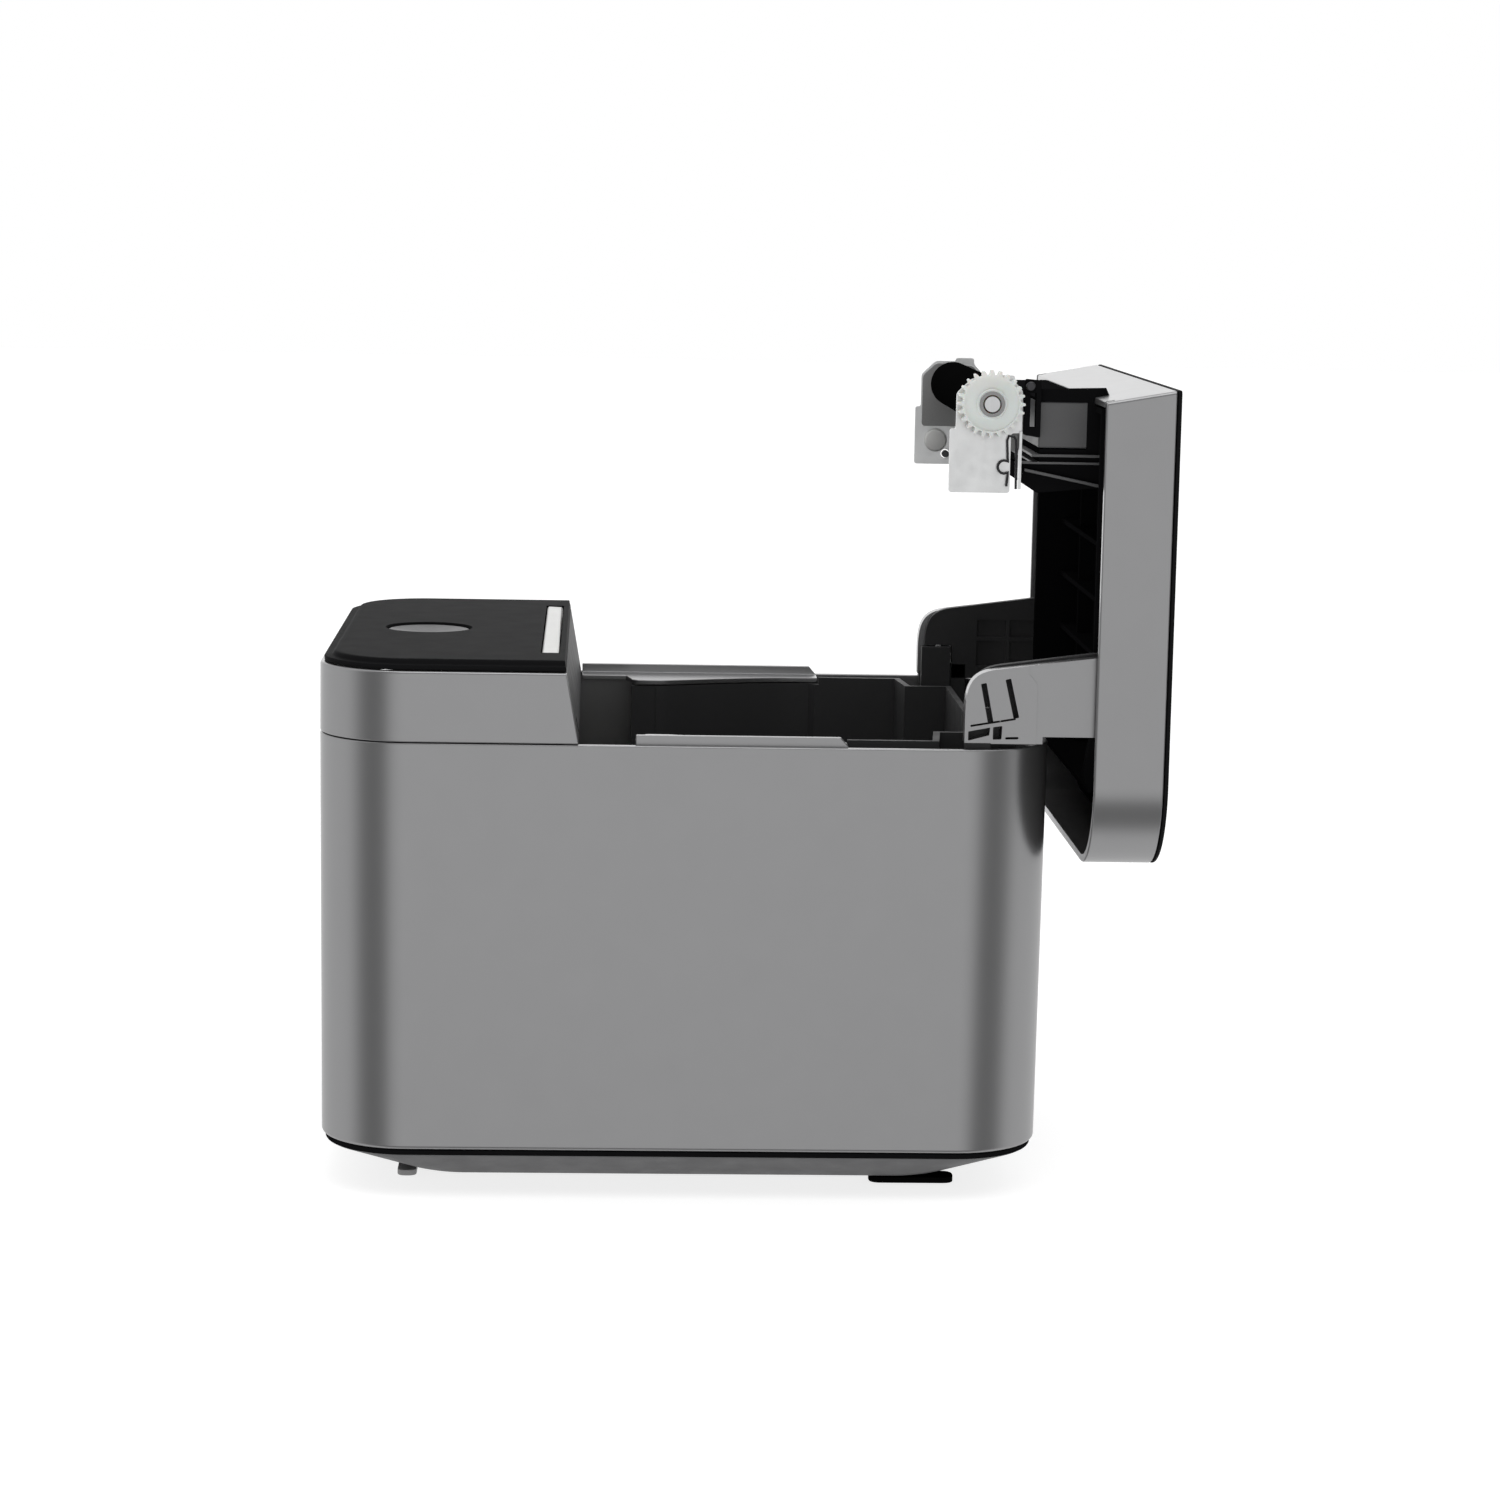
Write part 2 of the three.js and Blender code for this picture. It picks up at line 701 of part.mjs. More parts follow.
function sideDeck(start) {
  const outerX = HALF_W - WALL - GAP;
  const shape = new THREE.Shape();
  shape.moveTo(outerX, start);
  shape.lineTo(outerX, DECK_END);
  shape.lineTo(76.4, DECK_END);
  shape.lineTo(76.4, 150);
  shape.bezierCurveTo(74.5, 134, 66.5, 116, 64.3, 107);
  if (start < 90) {
    shape.lineTo(64.3, 99);
    shape.lineTo(66, 97);
    shape.lineTo(76.4, 95);
    shape.lineTo(76.4, start);
  } else {
    shape.lineTo(64.3, 99.6);
    shape.lineTo(71.8, 99.4);
    shape.lineTo(73, start);
  }
  shape.closePath();
  const ledge = prismZ(shape, TUB_TOP + GAP, DECK_TOP, 8);
  const lipOutline = [
    [start, DECK_TOP - 1],
    [DECK_END, DECK_TOP - 1],
    [DECK_END, DECK_TOP],
    [DECK_END - 2.5, LIP_TOP],
    [start, LIP_TOP],
  ];
  const lip = prismX(polygon(lipOutline), outerX - 2, outerX);
  return join(ledge, lip);
}
piece(printer, "side_deck_right", sideDeck(96.5), "shell_gray");
piece(printer, "side_deck_left", mirrored(sideDeck(81)), "shell_gray");

// ---- side guides on racks, with the pinion between them ----
const RACK = { inner: 4.8 + 0.35, depth: 3.2, z0: 38.4, z1: 41.2 };
const RACK_REACH = 20;

// A toothed bar along x; the teeth face +y from y = 0.
function rackOutline(x0, x1) {
  const pitch = Math.PI * GEAR_MODULE;
  const tooth = GEAR_MODULE * 0.85;
  const points = [
    [x1, -GEAR_MODULE],
    [x1, -GEAR_MODULE - RACK.depth],
    [x0, -GEAR_MODULE - RACK.depth],
    [x0, -GEAR_MODULE],
  ];
  const last = Math.ceil((GUIDE_TRAVEL + pitch) / pitch);
  for (let i = -1; i <= last; i += 1) {
    const middle = i * pitch;
    points.push([middle - 0.3 * pitch, -GEAR_MODULE]);
    points.push([middle - 0.12 * pitch, tooth]);
    points.push([middle + 0.12 * pitch, tooth]);
    points.push([middle + 0.3 * pitch, -GEAR_MODULE]);
  }
  return points;
}

// The right guide: a half-round cheek on a foot, with its rack in front of the pinion.
function rightGuide() {
  const rack = rackOutline(-RACK_REACH, GUIDE_X + 3).map(([x, y]) => [x, TUB_Y - RACK.inner + y]);
  const bar = prismZ(polygon(rack.reverse()), RACK.z0, RACK.z1);
  const cheek = new THREE.Shape();
  cheek.moveTo(TUB_Y + 30, 112);
  cheek.lineTo(TUB_Y - 30, 112);
  cheek.lineTo(TUB_Y - 36, TUB_Z);
  cheek.absarc(TUB_Y, TUB_Z, 36, Math.PI, Math.PI * 1.2, false);
  cheek.lineTo(TUB_Y - 24, 43);
  cheek.lineTo(TUB_Y + 24, 43);
  cheek.absarc(TUB_Y, TUB_Z, 36, Math.PI * 1.8, Math.PI * 2, false);
  cheek.closePath();
  const plate = prismX(cheek, GUIDE_X, GUIDE_X + 3, 8);
  const footY = TUB_Y - RACK.inner - GEAR_MODULE;
  const foot = block(GUIDE_X - 1, GUIDE_X + 3, footY - RACK.depth, footY - 0.3, RACK.z0, 44);
  const spool = rodX(8, GUIDE_X - 3, GUIDE_X + 1, TUB_Y, TUB_Z, 24);
  return join(bar, plate, foot, spool);
}

const guide = rightGuide();
piece(printer, "side_guide_right", guide, "inner_black");
const otherGuide = guide.clone().translate(0, -TUB_Y, 0).rotateZ(Math.PI).translate(0, TUB_Y, 0);
piece(printer, "side_guide_left", otherGuide, "inner_black");

function guidePinion() {
  const outline = gearOutline(GUIDE_PINION_TEETH, Math.PI / 2 + Math.PI / GUIDE_PINION_TEETH);
  const wheel = prismZ(outline, RACK.z0, RACK.z1).translate(0, TUB_Y, 0);
  return cut(wheel, rodZ(1.9, 30, 50, 0, TUB_Y, 12));
}
piece(printer, "guide_pinion", guidePinion(), "nylon");

// ---- label gap sensor, on a bracket under the platen ----
piece(
  printer,
  "label_sensor",
  join(block(-9, 9, 84, 92, 84, 88), block(-4, 4, 86, 90, 87, 91), block(-3, 3, 77.6, 85, 84, 86)),
  "inner_black",
);

// ---- main board and rear ports ----
const BOARD_TOP = 17.9;

function mainBoard() {
  const plate = block(-54, 54, 152, 213, 16 + GAP, BOARD_TOP);
  const chips = [
    block(20, 34, 170, 184, BOARD_TOP - 0.5, 19.6),
    block(-10, 2, 160, 168, BOARD_TOP - 0.5, 19.4),
    block(38, 46, 192, 206, BOARD_TOP - 0.5, 24),
    block(-50, -30, 158, 164, BOARD_TOP - 0.5, 24),
  ];
  const cans = [
    [-20, 176],
    [-30, 176],
    [50, 172],
  ].map(([x, y]) => rodZ(4, BOARD_TOP - 0.5, 29, x, y, 16));
  return join(plate, ...chips, ...cans);
}

const PANEL_FACE = 222.6;
const SWITCH = { x: -39, z: 28, halfX: 7, halfZ: 4.5 };
const INLET = { x: -14, z: 25, radius: 4.2 };
const USB = { x: 6, z: 24, halfX: 6, halfZ: 5.4 };

function portPanel() {
  const plate = block(PORT.x0 + GAP, PORT.x1 - GAP, 218, PANEL_FACE, PORT.z0 + GAP, PORT.z1 - GAP);
  const boxOuter = block(SWITCH.x - 10, SWITCH.x + 10, 208, 219, SWITCH.z - 7, SWITCH.z + 7);
  const boxInner = block(SWITCH.x - 8, SWITCH.x + 8, 210, 219.5, SWITCH.z - 5.5, SWITCH.z + 5.5);
  const switchHole = block(
    SWITCH.x - SWITCH.halfX - 0.6,
    SWITCH.x + SWITCH.halfX + 0.6,
    214,
    230,
    SWITCH.z - SWITCH.halfZ - 0.4,
    SWITCH.z + SWITCH.halfZ + 0.4,
  );
  const inletHole = rodY(INLET.radius + 1.6 + GAP, 210, 230, INLET.x, INLET.z, 24);
  const usbHole = block(
    USB.x - USB.halfX - GAP,
    USB.x + USB.halfX + GAP,
    210,
    230,
    USB.z - USB.halfZ - GAP,
    USB.z + USB.halfZ + GAP,
  );
  return cut(join(plate, boxOuter), boxInner, switchHole, inletHole, usbHole);
}

// A rocker with a shallow V face, turning about a vertical axis.
const ROCKER_TILT = THREE.MathUtils.degToRad(7);
const ROCKER_PIVOT = 218.5;
function powerSwitch() {
  const face = PANEL_FACE + 1 - ROCKER_PIVOT;
  const outline = [
    [-SWITCH.halfX, -3],
    [SWITCH.halfX, -3],
    [SWITCH.halfX, face + 0.8],
    [0, face - 0.6],
    [-SWITCH.halfX, face + 0.8],
  ];
  const rocker = prismZ(polygon(outline), SWITCH.z - SWITCH.halfZ, SWITCH.z + SWITCH.halfZ);
  const keel = block(-2.5, 2.5, -6, -2.5, SWITCH.z - 3, SWITCH.z + 3);
  return join(rocker, keel).rotateZ(-ROCKER_TILT).translate(SWITCH.x, ROCKER_PIVOT, 0);
}

function dcInlet() {
  const barrel = rodY(INLET.radius + 1.6, 209, PANEL_FACE, INLET.x, INLET.z, 24);
  const well = rodY(INLET.radius, 212, PANEL_FACE + 1, INLET.x, INLET.z, 24);
  const contact = rodY(1, 210, PANEL_FACE - 1.5, INLET.x, INLET.z, 12);
  const base = block(INLET.x - 5, INLET.x + 5, 207, 213.5, BOARD_TOP + GAP, INLET.z + 4);
  return join(cut(join(barrel, base), well), contact);
}

function usbPort() {
  const shell = block(
    USB.x - USB.halfX,
    USB.x + USB.halfX,
    206,
    PANEL_FACE,
    USB.z - USB.halfZ,
    USB.z + USB.halfZ,
  );
  const well = block(
    USB.x - USB.halfX + 0.8,
    USB.x + USB.halfX - 0.8,
    210,
    PANEL_FACE + 1,
    USB.z - USB.halfZ + 0.8,
    USB.z + USB.halfZ - 0.8,
  );
  const tongue = block(USB.x - 2.8, USB.x + 2.8, 209, PANEL_FACE - 1, USB.z - 1.6, USB.z + 1.6);
  return join(cut(shell, well), tongue);
}

piece(printer, "main_board", mainBoard(), "board_green");
piece(printer, "port_panel", portPanel(), "inner_black");
piece(printer, "power_switch", powerSwitch(), "panel_black");
piece(printer, "power_inlet", dcInlet(), "inner_black");
piece(printer, "usb_port", usbPort(), "steel");

// ---- hinge: brackets and pins on the base, goose-neck arms on the lid ----
const HUB = { x0: 60, x1: 68.4, radius: 6.5, pin: 2.6 };
const BRACKET_X0 = 56;
const BRACKET_X1 = HUB.x0 - GAP;

function hingeBracket() {
  const tower = join(
    block(BRACKET_X0, BRACKET_X1, 206, 220.6, RIM_TOP + 1, PIVOT_Z),
    block(BRACKET_X0, BRACKET_X1, 206, 213.5, 12.5, RIM_TOP + 2),
  );
  const head = rodX(7.3, BRACKET_X0, BRACKET_X1, PIVOT_Y + 0.6, PIVOT_Z, 24);
  const bore = rodX(HUB.pin + GAP, BRACKET_X0 - 1, BRACKET_X1 + 1, PIVOT_Y, PIVOT_Z, 20);
  return cut(join(tower, head), bore);
}

function hingePin() {
  const shank = rodX(HUB.pin, BRACKET_X0 - 0.8, HUB.x1 + 0.6, PIVOT_Y, PIVOT_Z, 20);
  const head = rodX(4.2, BRACKET_X0 - 2.2, BRACKET_X0 - 0.5, PIVOT_Y, PIVOT_Z, 20);
  return join(shank, head);
}
pair(printer, "hinge_bracket", hingeBracket(), "inner_black");
pair(printer, "hinge_pin", hingePin(), "steel");

// The arm's outline is given with the lid open, then carried to the closed position.
const ARM_X0 = 81;
const ARM_X1 = 86.3;
const ARM_ROOT = 250; // how deep the arm runs into the lid, with the lid open
const LID_INNER = PARTING + GAP + 0.1;

function closedFromOpen(geometry) {
  return geometry
    .translate(0, -PIVOT_Y, -PIVOT_Z)
    .rotateX(Math.PI / 2)
    .translate(0, PIVOT_Y, PIVOT_Z);
}

function armOutline(low, left, top) {
  return [
    [left, low],
    [204, low],
    [204, 142],
    [219.8, 142],
    [219.8, 144.2],
    [ARM_ROOT, 144.2],
    [ARM_ROOT, 168.4 + top],
    [235.1, 168.4 + top],
    [199.5 + left - 196, 162.8 + top],
    [left, 157 + top],
  ];
}

function hingeArm() {
  const cheek = prismX(polygon(armOutline(134, 196, 0)), ARM_X0, ARM_X1);
  const cells = [
    [[198, 147], [204.4, 147], [203.2, 160], [198, 156.5]],
    [[206, 147], [211.2, 147], [210.2, 161.6], [204.8, 160.8]],
    [[198, 142.6], [204.2, 142.6], [204.2, 145.6], [198, 145.6]],
  ].map((points) => prismX(polygon(points), ARM_X1 - 1.2, ARM_X1 + 1));
  const neck = block(75.8, ARM_X0 + 1, 197, 207, 119.5, 152);
  const bridge = block(62, ARM_X0 + 1, 198, 207, 119.5, 131);
  const hub = rodX(HUB.radius, HUB.x0, HUB.x1, PIVOT_Y, PIVOT_Z, 28);
  const web = block(HUB.x0, HUB.x1, 199, PIVOT_Y, 119.5 - 3, 126);
  const bore = rodX(HUB.pin + 0.08, HUB.x0 - 1, HUB.x1 + 1, PIVOT_Y, PIVOT_Z, 28);
  return closedFromOpen(cut(join(cheek, neck, bridge, hub, web), bore, ...cells));
}

function armCover() {
  const skin = prismX(polygon(armOutline(146, 198, 0.8)), 77.6, ARM_X0 - GAP);
  const clear = block(70, ARM_X0, 190, 207.5, 110, 152.5);
  const pockets = [];
  for (const [y0, y1] of [
    [209.5, 217],
    [218.5, 226],
    [227.5, 234],
  ]) {
    for (const [z0, z1] of [
      [148, 154.5],
      [156, 162.5],
    ]) {
      pockets.push(block(70, ARM_X0 - 1.6, y0, y1, z0, z1));
    }
  }
  return closedFromOpen(cut(skin, clear, ...pockets));
}
pair(lid, "hinge_arm", hingeArm(), "shell_gray");
pair(lid, "arm_cover", armCover(), "inner_black");

// ---- lid: gray band, black cover, ribbed liner ----
// The space the rear edge of the shell needs as the lid swings back.
function rearSweep() {
  return rodX(26, -HALF_W, HALF_W, PIVOT_Y, PIVOT_Z, 60);
}

const LID_REAR = BODY_DEPTH + LID_OVERHANG;
const LINER_FLOOR = 157.4;

function lidBand() {
  const plan = (inset) => bodyPlan(inset, LID_FRONT - 8, LID_REAR - inset, false, true);
  const ring = cut(
    prismZ(plan(0), LID_INNER, COVER_TOP - GAP / 2),
    prismZ(plan(WALL), LID_INNER - 1, COVER_TOP + 1),
  );
  const face = (z) => LID_FRONT - (z - PARTING) * SLANT;
  const frontOutline = [
    [face(LID_INNER), LID_INNER],
    [face(LID_INNER) + 1.8, LID_INNER],
    [face(COVER_TOP) + 1.8, COVER_TOP - GAP / 2],
    [face(COVER_TOP), COVER_TOP - GAP / 2],
  ];
  const front = prismX(polygon(frontOutline), -HALF_W + 1, HALF_W - 1);
  const strip = join(cut(ring, slotCutter(LID_FRONT, false)), front);
  const lipRoom = [-86.1, 86.1].map((x) => block(x - 1.3, x + 1.3, 78, 88, 140, 143.9));
  return cut(strip, ...lipRoom, rearSweep());
}

function lidCover() {
  const plan = (inset) => bodyPlan(inset, LID_FRONT - 8, LID_REAR - inset, false, true);
  const sheet = prismZ(plan(0), COVER_TOP + GAP / 2, LID_TOP - 0.6);
  const crown = prismZ(plan(1.2), LID_TOP - 0.7, LID_TOP);
  const spigotPlan = bodyPlan(WALL + GAP, 84.5, LID_REAR - WALL - GAP, false, true);
  const spigot = prismZ(spigotPlan, 160.2, COVER_TOP + 0.3);
  return cut(join(sheet, crown, spigot), slotCutter(LID_FRONT, false));
}

function lidLiner() {
  const deck = prismZ(bodyPlan(WALL + GAP, 84.8, LID_REAR - WALL - GAP, false, true), LINER_FLOOR, 159.8);
  const rear = 208;
  const wallPlan = (x, y0, y1) => polygon([
    [-x, y0],
    [x, y0],
    [x, y1 - 22],
    [x - 22, y1],
    [-x + 22, y1],
    [-x, y1 - 22],
  ]);
  const low = LID_INNER + 0.2;
  const walls = cut(
    prismZ(wallPlan(76.8, 87.2, rear), low, LINER_FLOOR + 0.5),
    prismZ(wallPlan(75, 89, rear - 1.8), low - 1, LINER_FLOOR - 0.1),
  );
  const ribs = [];
  const ribTop = LINER_FLOOR + 0.5;
  for (const y of [116, 134, 152, 170, 188]) ribs.push(block(-75.5, 75.5, y - 0.8, y + 0.8, 150, ribTop));
  for (const x of [-45, 0, 45]) ribs.push(block(x - 0.8, x + 0.8, 115.5, 207, 152, ribTop));
  const armRoom = [-1, 1].map((side) =>
    side > 0
      ? block(77.3, 88, 158, 190, 150, 156.2)
      : block(-88, -77.3, 158, 190, 150, 156.2),
  );
  return cut(join(deck, walls, ...ribs), ...armRoom, rearSweep());
}
piece(lid, "lid_band", lidBand(), "shell_gray");
piece(lid, "lid_cover", lidCover(), "panel_black");
piece(lid, "lid_liner", lidLiner(), "inner_black");

// ---- platen unit under the lid's front edge ----
const PLATE_X0 = 61.4;
const PLATE_X1 = 62.9;
const HOUSING_X = 62.9;

function platenFrame() {
  const outline = [
    [89.6, 128],
    [91, 122],
    [88, 119.2],
    [112, 119.2],
    [114.4, 124],
    [113, 141],
    [111, LINER_FLOOR - GAP],
    [89.6, LINER_FLOOR - GAP],
  ];
  const body = prismX(polygon(outline), -HOUSING_X, HOUSING_X);
  const hollow = block(-HOUSING_X + 2, HOUSING_X - 2, 93, 110, 110, 140);
  return cut(body, hollow);
}

function platenPlate() {
  const shape = new THREE.Shape();
  shape.moveTo(114.2, 99);
  shape.lineTo(114.2, 118.8);
  shape.lineTo(84, 118.8);
  shape.lineTo(79.5, 115.5);
  shape.lineTo(79.5, 105);
  shape.bezierCurveTo(79.5, 101.5, 81.5, 98.6, 84.5, 98.6);
  shape.lineTo(94.8, 98.6);
  shape.lineTo(94.8, 96.9);
  shape.lineTo(112, 96.9);
  shape.closePath();
  const plate = prismX(shape, PLATE_X0, PLATE_X1, 8);
  return cut(plate, rodX(4.5 + GAP, 50, 70, PLATEN.y, PLATEN.z, 24), rodX(1.6, 50, 70, 108, 106, 16));
}

function platenBush() {
  const flange = rodX(5.6, PLATE_X0 - 1.4, PLATE_X0 - GAP, PLATEN.y, PLATEN.z, 24);
  const barrel = rodX(4.5, PLATE_X0 - 1, PLATE_X1 + 0.3, PLATEN.y, PLATEN.z, 24);
  return cut(join(flange, barrel), rodX(2.56, 50, 70, PLATEN.y, PLATEN.z, 24));
}

function platenShaft() {
  const shank = rodX(2.5, -PLATE_X1 - 1.2, GEAR_X1 + 0.8, PLATEN.y, PLATEN.z, 24);
  return shank;
}

function platenGear() {
  const wheel = gearX(PLATEN_TEETH, 0, GEAR_X0, GEAR_X1 - 0.6, PLATEN.y, PLATEN.z, 0);
  const hub = rodX(4.6, GEAR_X0, GEAR_X1, PLATEN.y, PLATEN.z, 24);
  return cut(join(wheel, hub), rodX(2.5 + GAP, 60, 75, PLATEN.y, PLATEN.z, 24));
}

const ROLLER_HALF = 56;
piece(lid, "platen_frame", platenFrame(), "inner_black");
pair(lid, "platen_plate", platenPlate(), "steel");
pair(lid, "platen_bush", platenBush(), "bronze");
piece(lid, "platen_shaft", platenShaft(), "steel");
piece(lid, "platen_gear", platenGear(), "nylon");
piece(
  lid,
  "platen_roller",
  cut(
    rodX(PLATEN.radius, -ROLLER_HALF, ROLLER_HALF, PLATEN.y, PLATEN.z, 40),
    rodX(2.5 + GAP, -60, 60, PLATEN.y, PLATEN.z, 24),
  ),
  "rubber",
);

export default part;
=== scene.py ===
# Looks of a desktop label printer with its lid open: camera, light, materials and finished pieces.
# Sizes are millimetres in the printer's own coordinates (y runs back from the front face) until to_frame.
import json
import math

import bmesh
import bpy
from mathutils import Matrix, Vector


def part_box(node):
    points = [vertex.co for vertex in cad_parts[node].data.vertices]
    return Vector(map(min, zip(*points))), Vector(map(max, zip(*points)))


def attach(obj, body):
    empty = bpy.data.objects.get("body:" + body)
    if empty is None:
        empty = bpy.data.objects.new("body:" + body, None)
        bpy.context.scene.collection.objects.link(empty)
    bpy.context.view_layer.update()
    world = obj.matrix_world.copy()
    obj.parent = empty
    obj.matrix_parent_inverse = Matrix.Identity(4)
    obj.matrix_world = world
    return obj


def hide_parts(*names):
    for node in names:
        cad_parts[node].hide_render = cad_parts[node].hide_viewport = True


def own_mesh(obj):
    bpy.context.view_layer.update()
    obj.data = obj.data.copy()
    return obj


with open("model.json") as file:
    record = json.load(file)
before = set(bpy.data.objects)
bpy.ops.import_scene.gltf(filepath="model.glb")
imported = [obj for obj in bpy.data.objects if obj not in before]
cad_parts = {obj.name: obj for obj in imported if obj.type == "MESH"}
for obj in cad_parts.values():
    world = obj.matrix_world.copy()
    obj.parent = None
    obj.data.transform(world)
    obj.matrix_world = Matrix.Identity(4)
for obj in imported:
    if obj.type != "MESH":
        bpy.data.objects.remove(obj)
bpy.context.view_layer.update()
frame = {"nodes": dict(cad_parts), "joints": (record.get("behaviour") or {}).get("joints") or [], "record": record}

MM = 0.001
SCENE = bpy.context.scene

# ---- driving dimensions, from the frame where it has them ----
SHELL_LOW, SHELL_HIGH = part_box("lower_shell")
FRONT = SHELL_LOW.y / MM
DEPTH = (SHELL_HIGH.y - SHELL_LOW.y) / MM
HALF_W = SHELL_HIGH.x / MM
PARTING = SHELL_HIGH.z / MM + 0.15
JOINTS = {joint["name"]: joint for joint in frame["joints"]}
BODY_OF = {
    node: body
    for body, nodes in frame["record"]["behaviour"]["bodies"].items()
    for node in nodes
}
PIVOT_Y = JOINTS["lid_hinge"]["pos_m"][1] / MM - FRONT
PIVOT_Z = JOINTS["lid_hinge"]["pos_m"][2] / MM

CORNER = 27.5
WALL = 2.4
SHELL_BOTTOM = SHELL_LOW.z / MM
COVER_TOP = 162.2
PANEL_TOP = 165.5
LID_TOP = 163.8
BASE_BOTTOM = 2.2
BASE_TOP = 13.0
BLOCK_BACK = 79.3  # front face to the exit slot, at the seam
LID_FRONT = 84.7
SLANT = 3.8 / 21.5  # how far the exit slot's faces lean forward for each millimetre up
ARC_STEPS = 20


def local_box(node):
    """A CAD node's box in printer coordinates: (x0, x1, y0, y1, z0, z1)."""
    low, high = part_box(node)
    return (
        low.x / MM,
        high.x / MM,
        low.y / MM - FRONT,
        high.y / MM - FRONT,
        low.z / MM,
        high.z / MM,
    )


# ---- shapes: (vertices, faces) in printer coordinates ----
def to_frame(point, closed=False):
    """Printer millimetres to frame metres; closed means drawn with the lid shut."""
    x, y, z = point
    if closed:
        y, z = PIVOT_Y + (z - PIVOT_Z), PIVOT_Z - (y - PIVOT_Y)
    return Vector((x, y + FRONT, z)) * MM


def arc(cx, cy, radius, start, end, steps=ARC_STEPS):
    angles = [math.radians(start + (end - start) * k / steps) for k in range(steps + 1)]
    return [(cx + radius * math.cos(a), cy + radius * math.sin(a)) for a in angles]


def curve(a, b, c, d, steps=14):
    """A cubic Bezier curve from a to d."""
    points = []
    for k in range(steps + 1):
        t = k / steps
        s = 1 - t
        points.append(
            tuple(
                s**3 * a[i] + 3 * s * s * t * b[i] + 3 * s * t * t * c[i] + t**3 * d[i]
                for i in range(2)
            )
        )
    return points


def rounded(outline, radius, steps=5):
    """The outline with each corner rounded, by as much as its sides allow."""
    points = []
    count = len(outline)
    for i, corner in enumerate(outline):
        here = Vector(corner)
        before = Vector(outline[i - 1]) - here
        after = Vector(outline[(i + 1) % count]) - here
        reach = min(radius, before.length * 0.45, after.length * 0.45)
        a = here + before.normalized() * reach
        b = here + after.normalized() * reach
        for k in range(steps + 1):
            t = k / steps
            points.append(tuple(a * (1 - t) ** 2 + here * 2 * t * (1 - t) + b * t * t))
    return points


def grid(rows, wrap_rows=False, wrap_cols=True):
    """A closed skin over rows of points; sides that don't wrap are capped."""
    n, m = len(rows), len(rows[0])
    vertices = [point for row in rows for point in row]
    faces = []
    for i in range(n if wrap_rows else n - 1):
        for j in range(m if wrap_cols else m - 1):
            i2, j2 = (i + 1) % n, (j + 1) % m
            faces.append((i * m + j, i * m + j2, i2 * m + j2, i2 * m + j))
    if not wrap_rows:
        faces.append(tuple(reversed(range(m))))
        faces.append(tuple((n - 1) * m + j for j in range(m)))
    if not wrap_cols:
        faces.append(tuple(i * m for i in range(n)))
        faces.append(tuple(i * m + m - 1 for i in reversed(range(n))))
    return vertices, faces


def along(axis, a, b, position):
    """The point with plane coordinates a, b at a position along an axis."""
    return {"x": (position, a, b), "y": (a, position, b), "z": (a, b, position)}[axis]


def prism(axis, outline, low, high):
    return grid([[along(axis, a, b, p) for a, b in outline] for p in (low, high)])


def rectangle(a0, a1, b0, b1, inset=0.0):
    """Four corners, drawn in by inset."""
    a0, a1 = a0 + inset, a1 - inset
    b0, b1 = b0 + inset, b1 - inset
    return [(a0, b0), (a1, b0), (a1, b1), (a0, b1)]


def block(x0, x1, y0, y1, z0, z1):
    return prism("z", rectangle(x0, x1, y0, y1), z0, z1)


def lathe(axis, profile, a, b, sides=64):
    """(radius, position) pairs turned round an axis through a, b."""
    return grid(
        [
            [along(axis, p, q, position) for p, q in arc(a, b, radius, 0, 360, sides)[:-1]]
            for radius, position in profile
        ]
    )


def rod(axis, radius, low, high, a, b, sides=48, chamfer=0.0):
    profile = [(radius, low), (radius, high)]
    if chamfer:
        profile = [
            (radius - chamfer, low),
            (radius, low + chamfer),
            (radius, high - chamfer),
            (radius - chamfer, high),
        ]
    return lathe(axis, profile, a, b, sides)


def mirrored(shape):
    vertices, faces = shape
    return [(-x, y, z) for x, y, z in vertices], [tuple(reversed(face)) for face in faces]


def on_side(side, shapes):
    """Shapes drawn for the right side, mirrored where they are for the left."""
    return [shape if side == "right" else mirrored(shape) for shape in shapes]


# ---- objects ----
def solid_object(name, shape, closed=False):
    vertices, faces = shape
    mesh = bpy.data.meshes.new(name)
    mesh.from_pydata([to_frame(v, closed) for v in vertices], [], faces)
    work = bmesh.new()
    work.from_mesh(mesh)
    bmesh.ops.recalc_face_normals(work, faces=work.faces)
    work.to_mesh(mesh)
    work.free()
    piece = bpy.data.objects.new(name, mesh)
    SCENE.collection.objects.link(piece)
    return piece


def sculpt(name, solids, cuts=(), common=(), closed=False):
    """The union of solids, kept to what they share with common, less cuts."""
    piece = solid_object(name, solids[0], closed)
    steps = [("UNION", s) for s in solids[1:]]
    steps += [("INTERSECT", s) for s in common]
    steps += [("DIFFERENCE", s) for s in cuts]
    if not steps:
        return piece
    tools = []
    for operation, shape in steps:
        tool = solid_object(name + "_tool", shape, closed)
        modifier = piece.modifiers.new("shape", "BOOLEAN")
        modifier.operation = operation
        modifier.solver = "EXACT"
        modifier.object = tool
        tools.append(tool)
    graph = bpy.context.evaluated_depsgraph_get()
    made = bpy.data.meshes.new_from_object(piece.evaluated_get(graph))
    piece.modifiers.clear()
    piece.data = made
    for tool in tools:
        bpy.data.objects.remove(tool)
    return piece


def shape_of(piece):
    """An object's mesh as a shape again; the object itself is removed."""
    mesh = piece.data
    vertices = [(v.co.x / MM, v.co.y / MM - FRONT, v.co.z / MM) for v in mesh.vertices]
    faces = [tuple(polygon.vertices) for polygon in mesh.polygons]
    bpy.data.objects.remove(piece)
    return vertices, faces


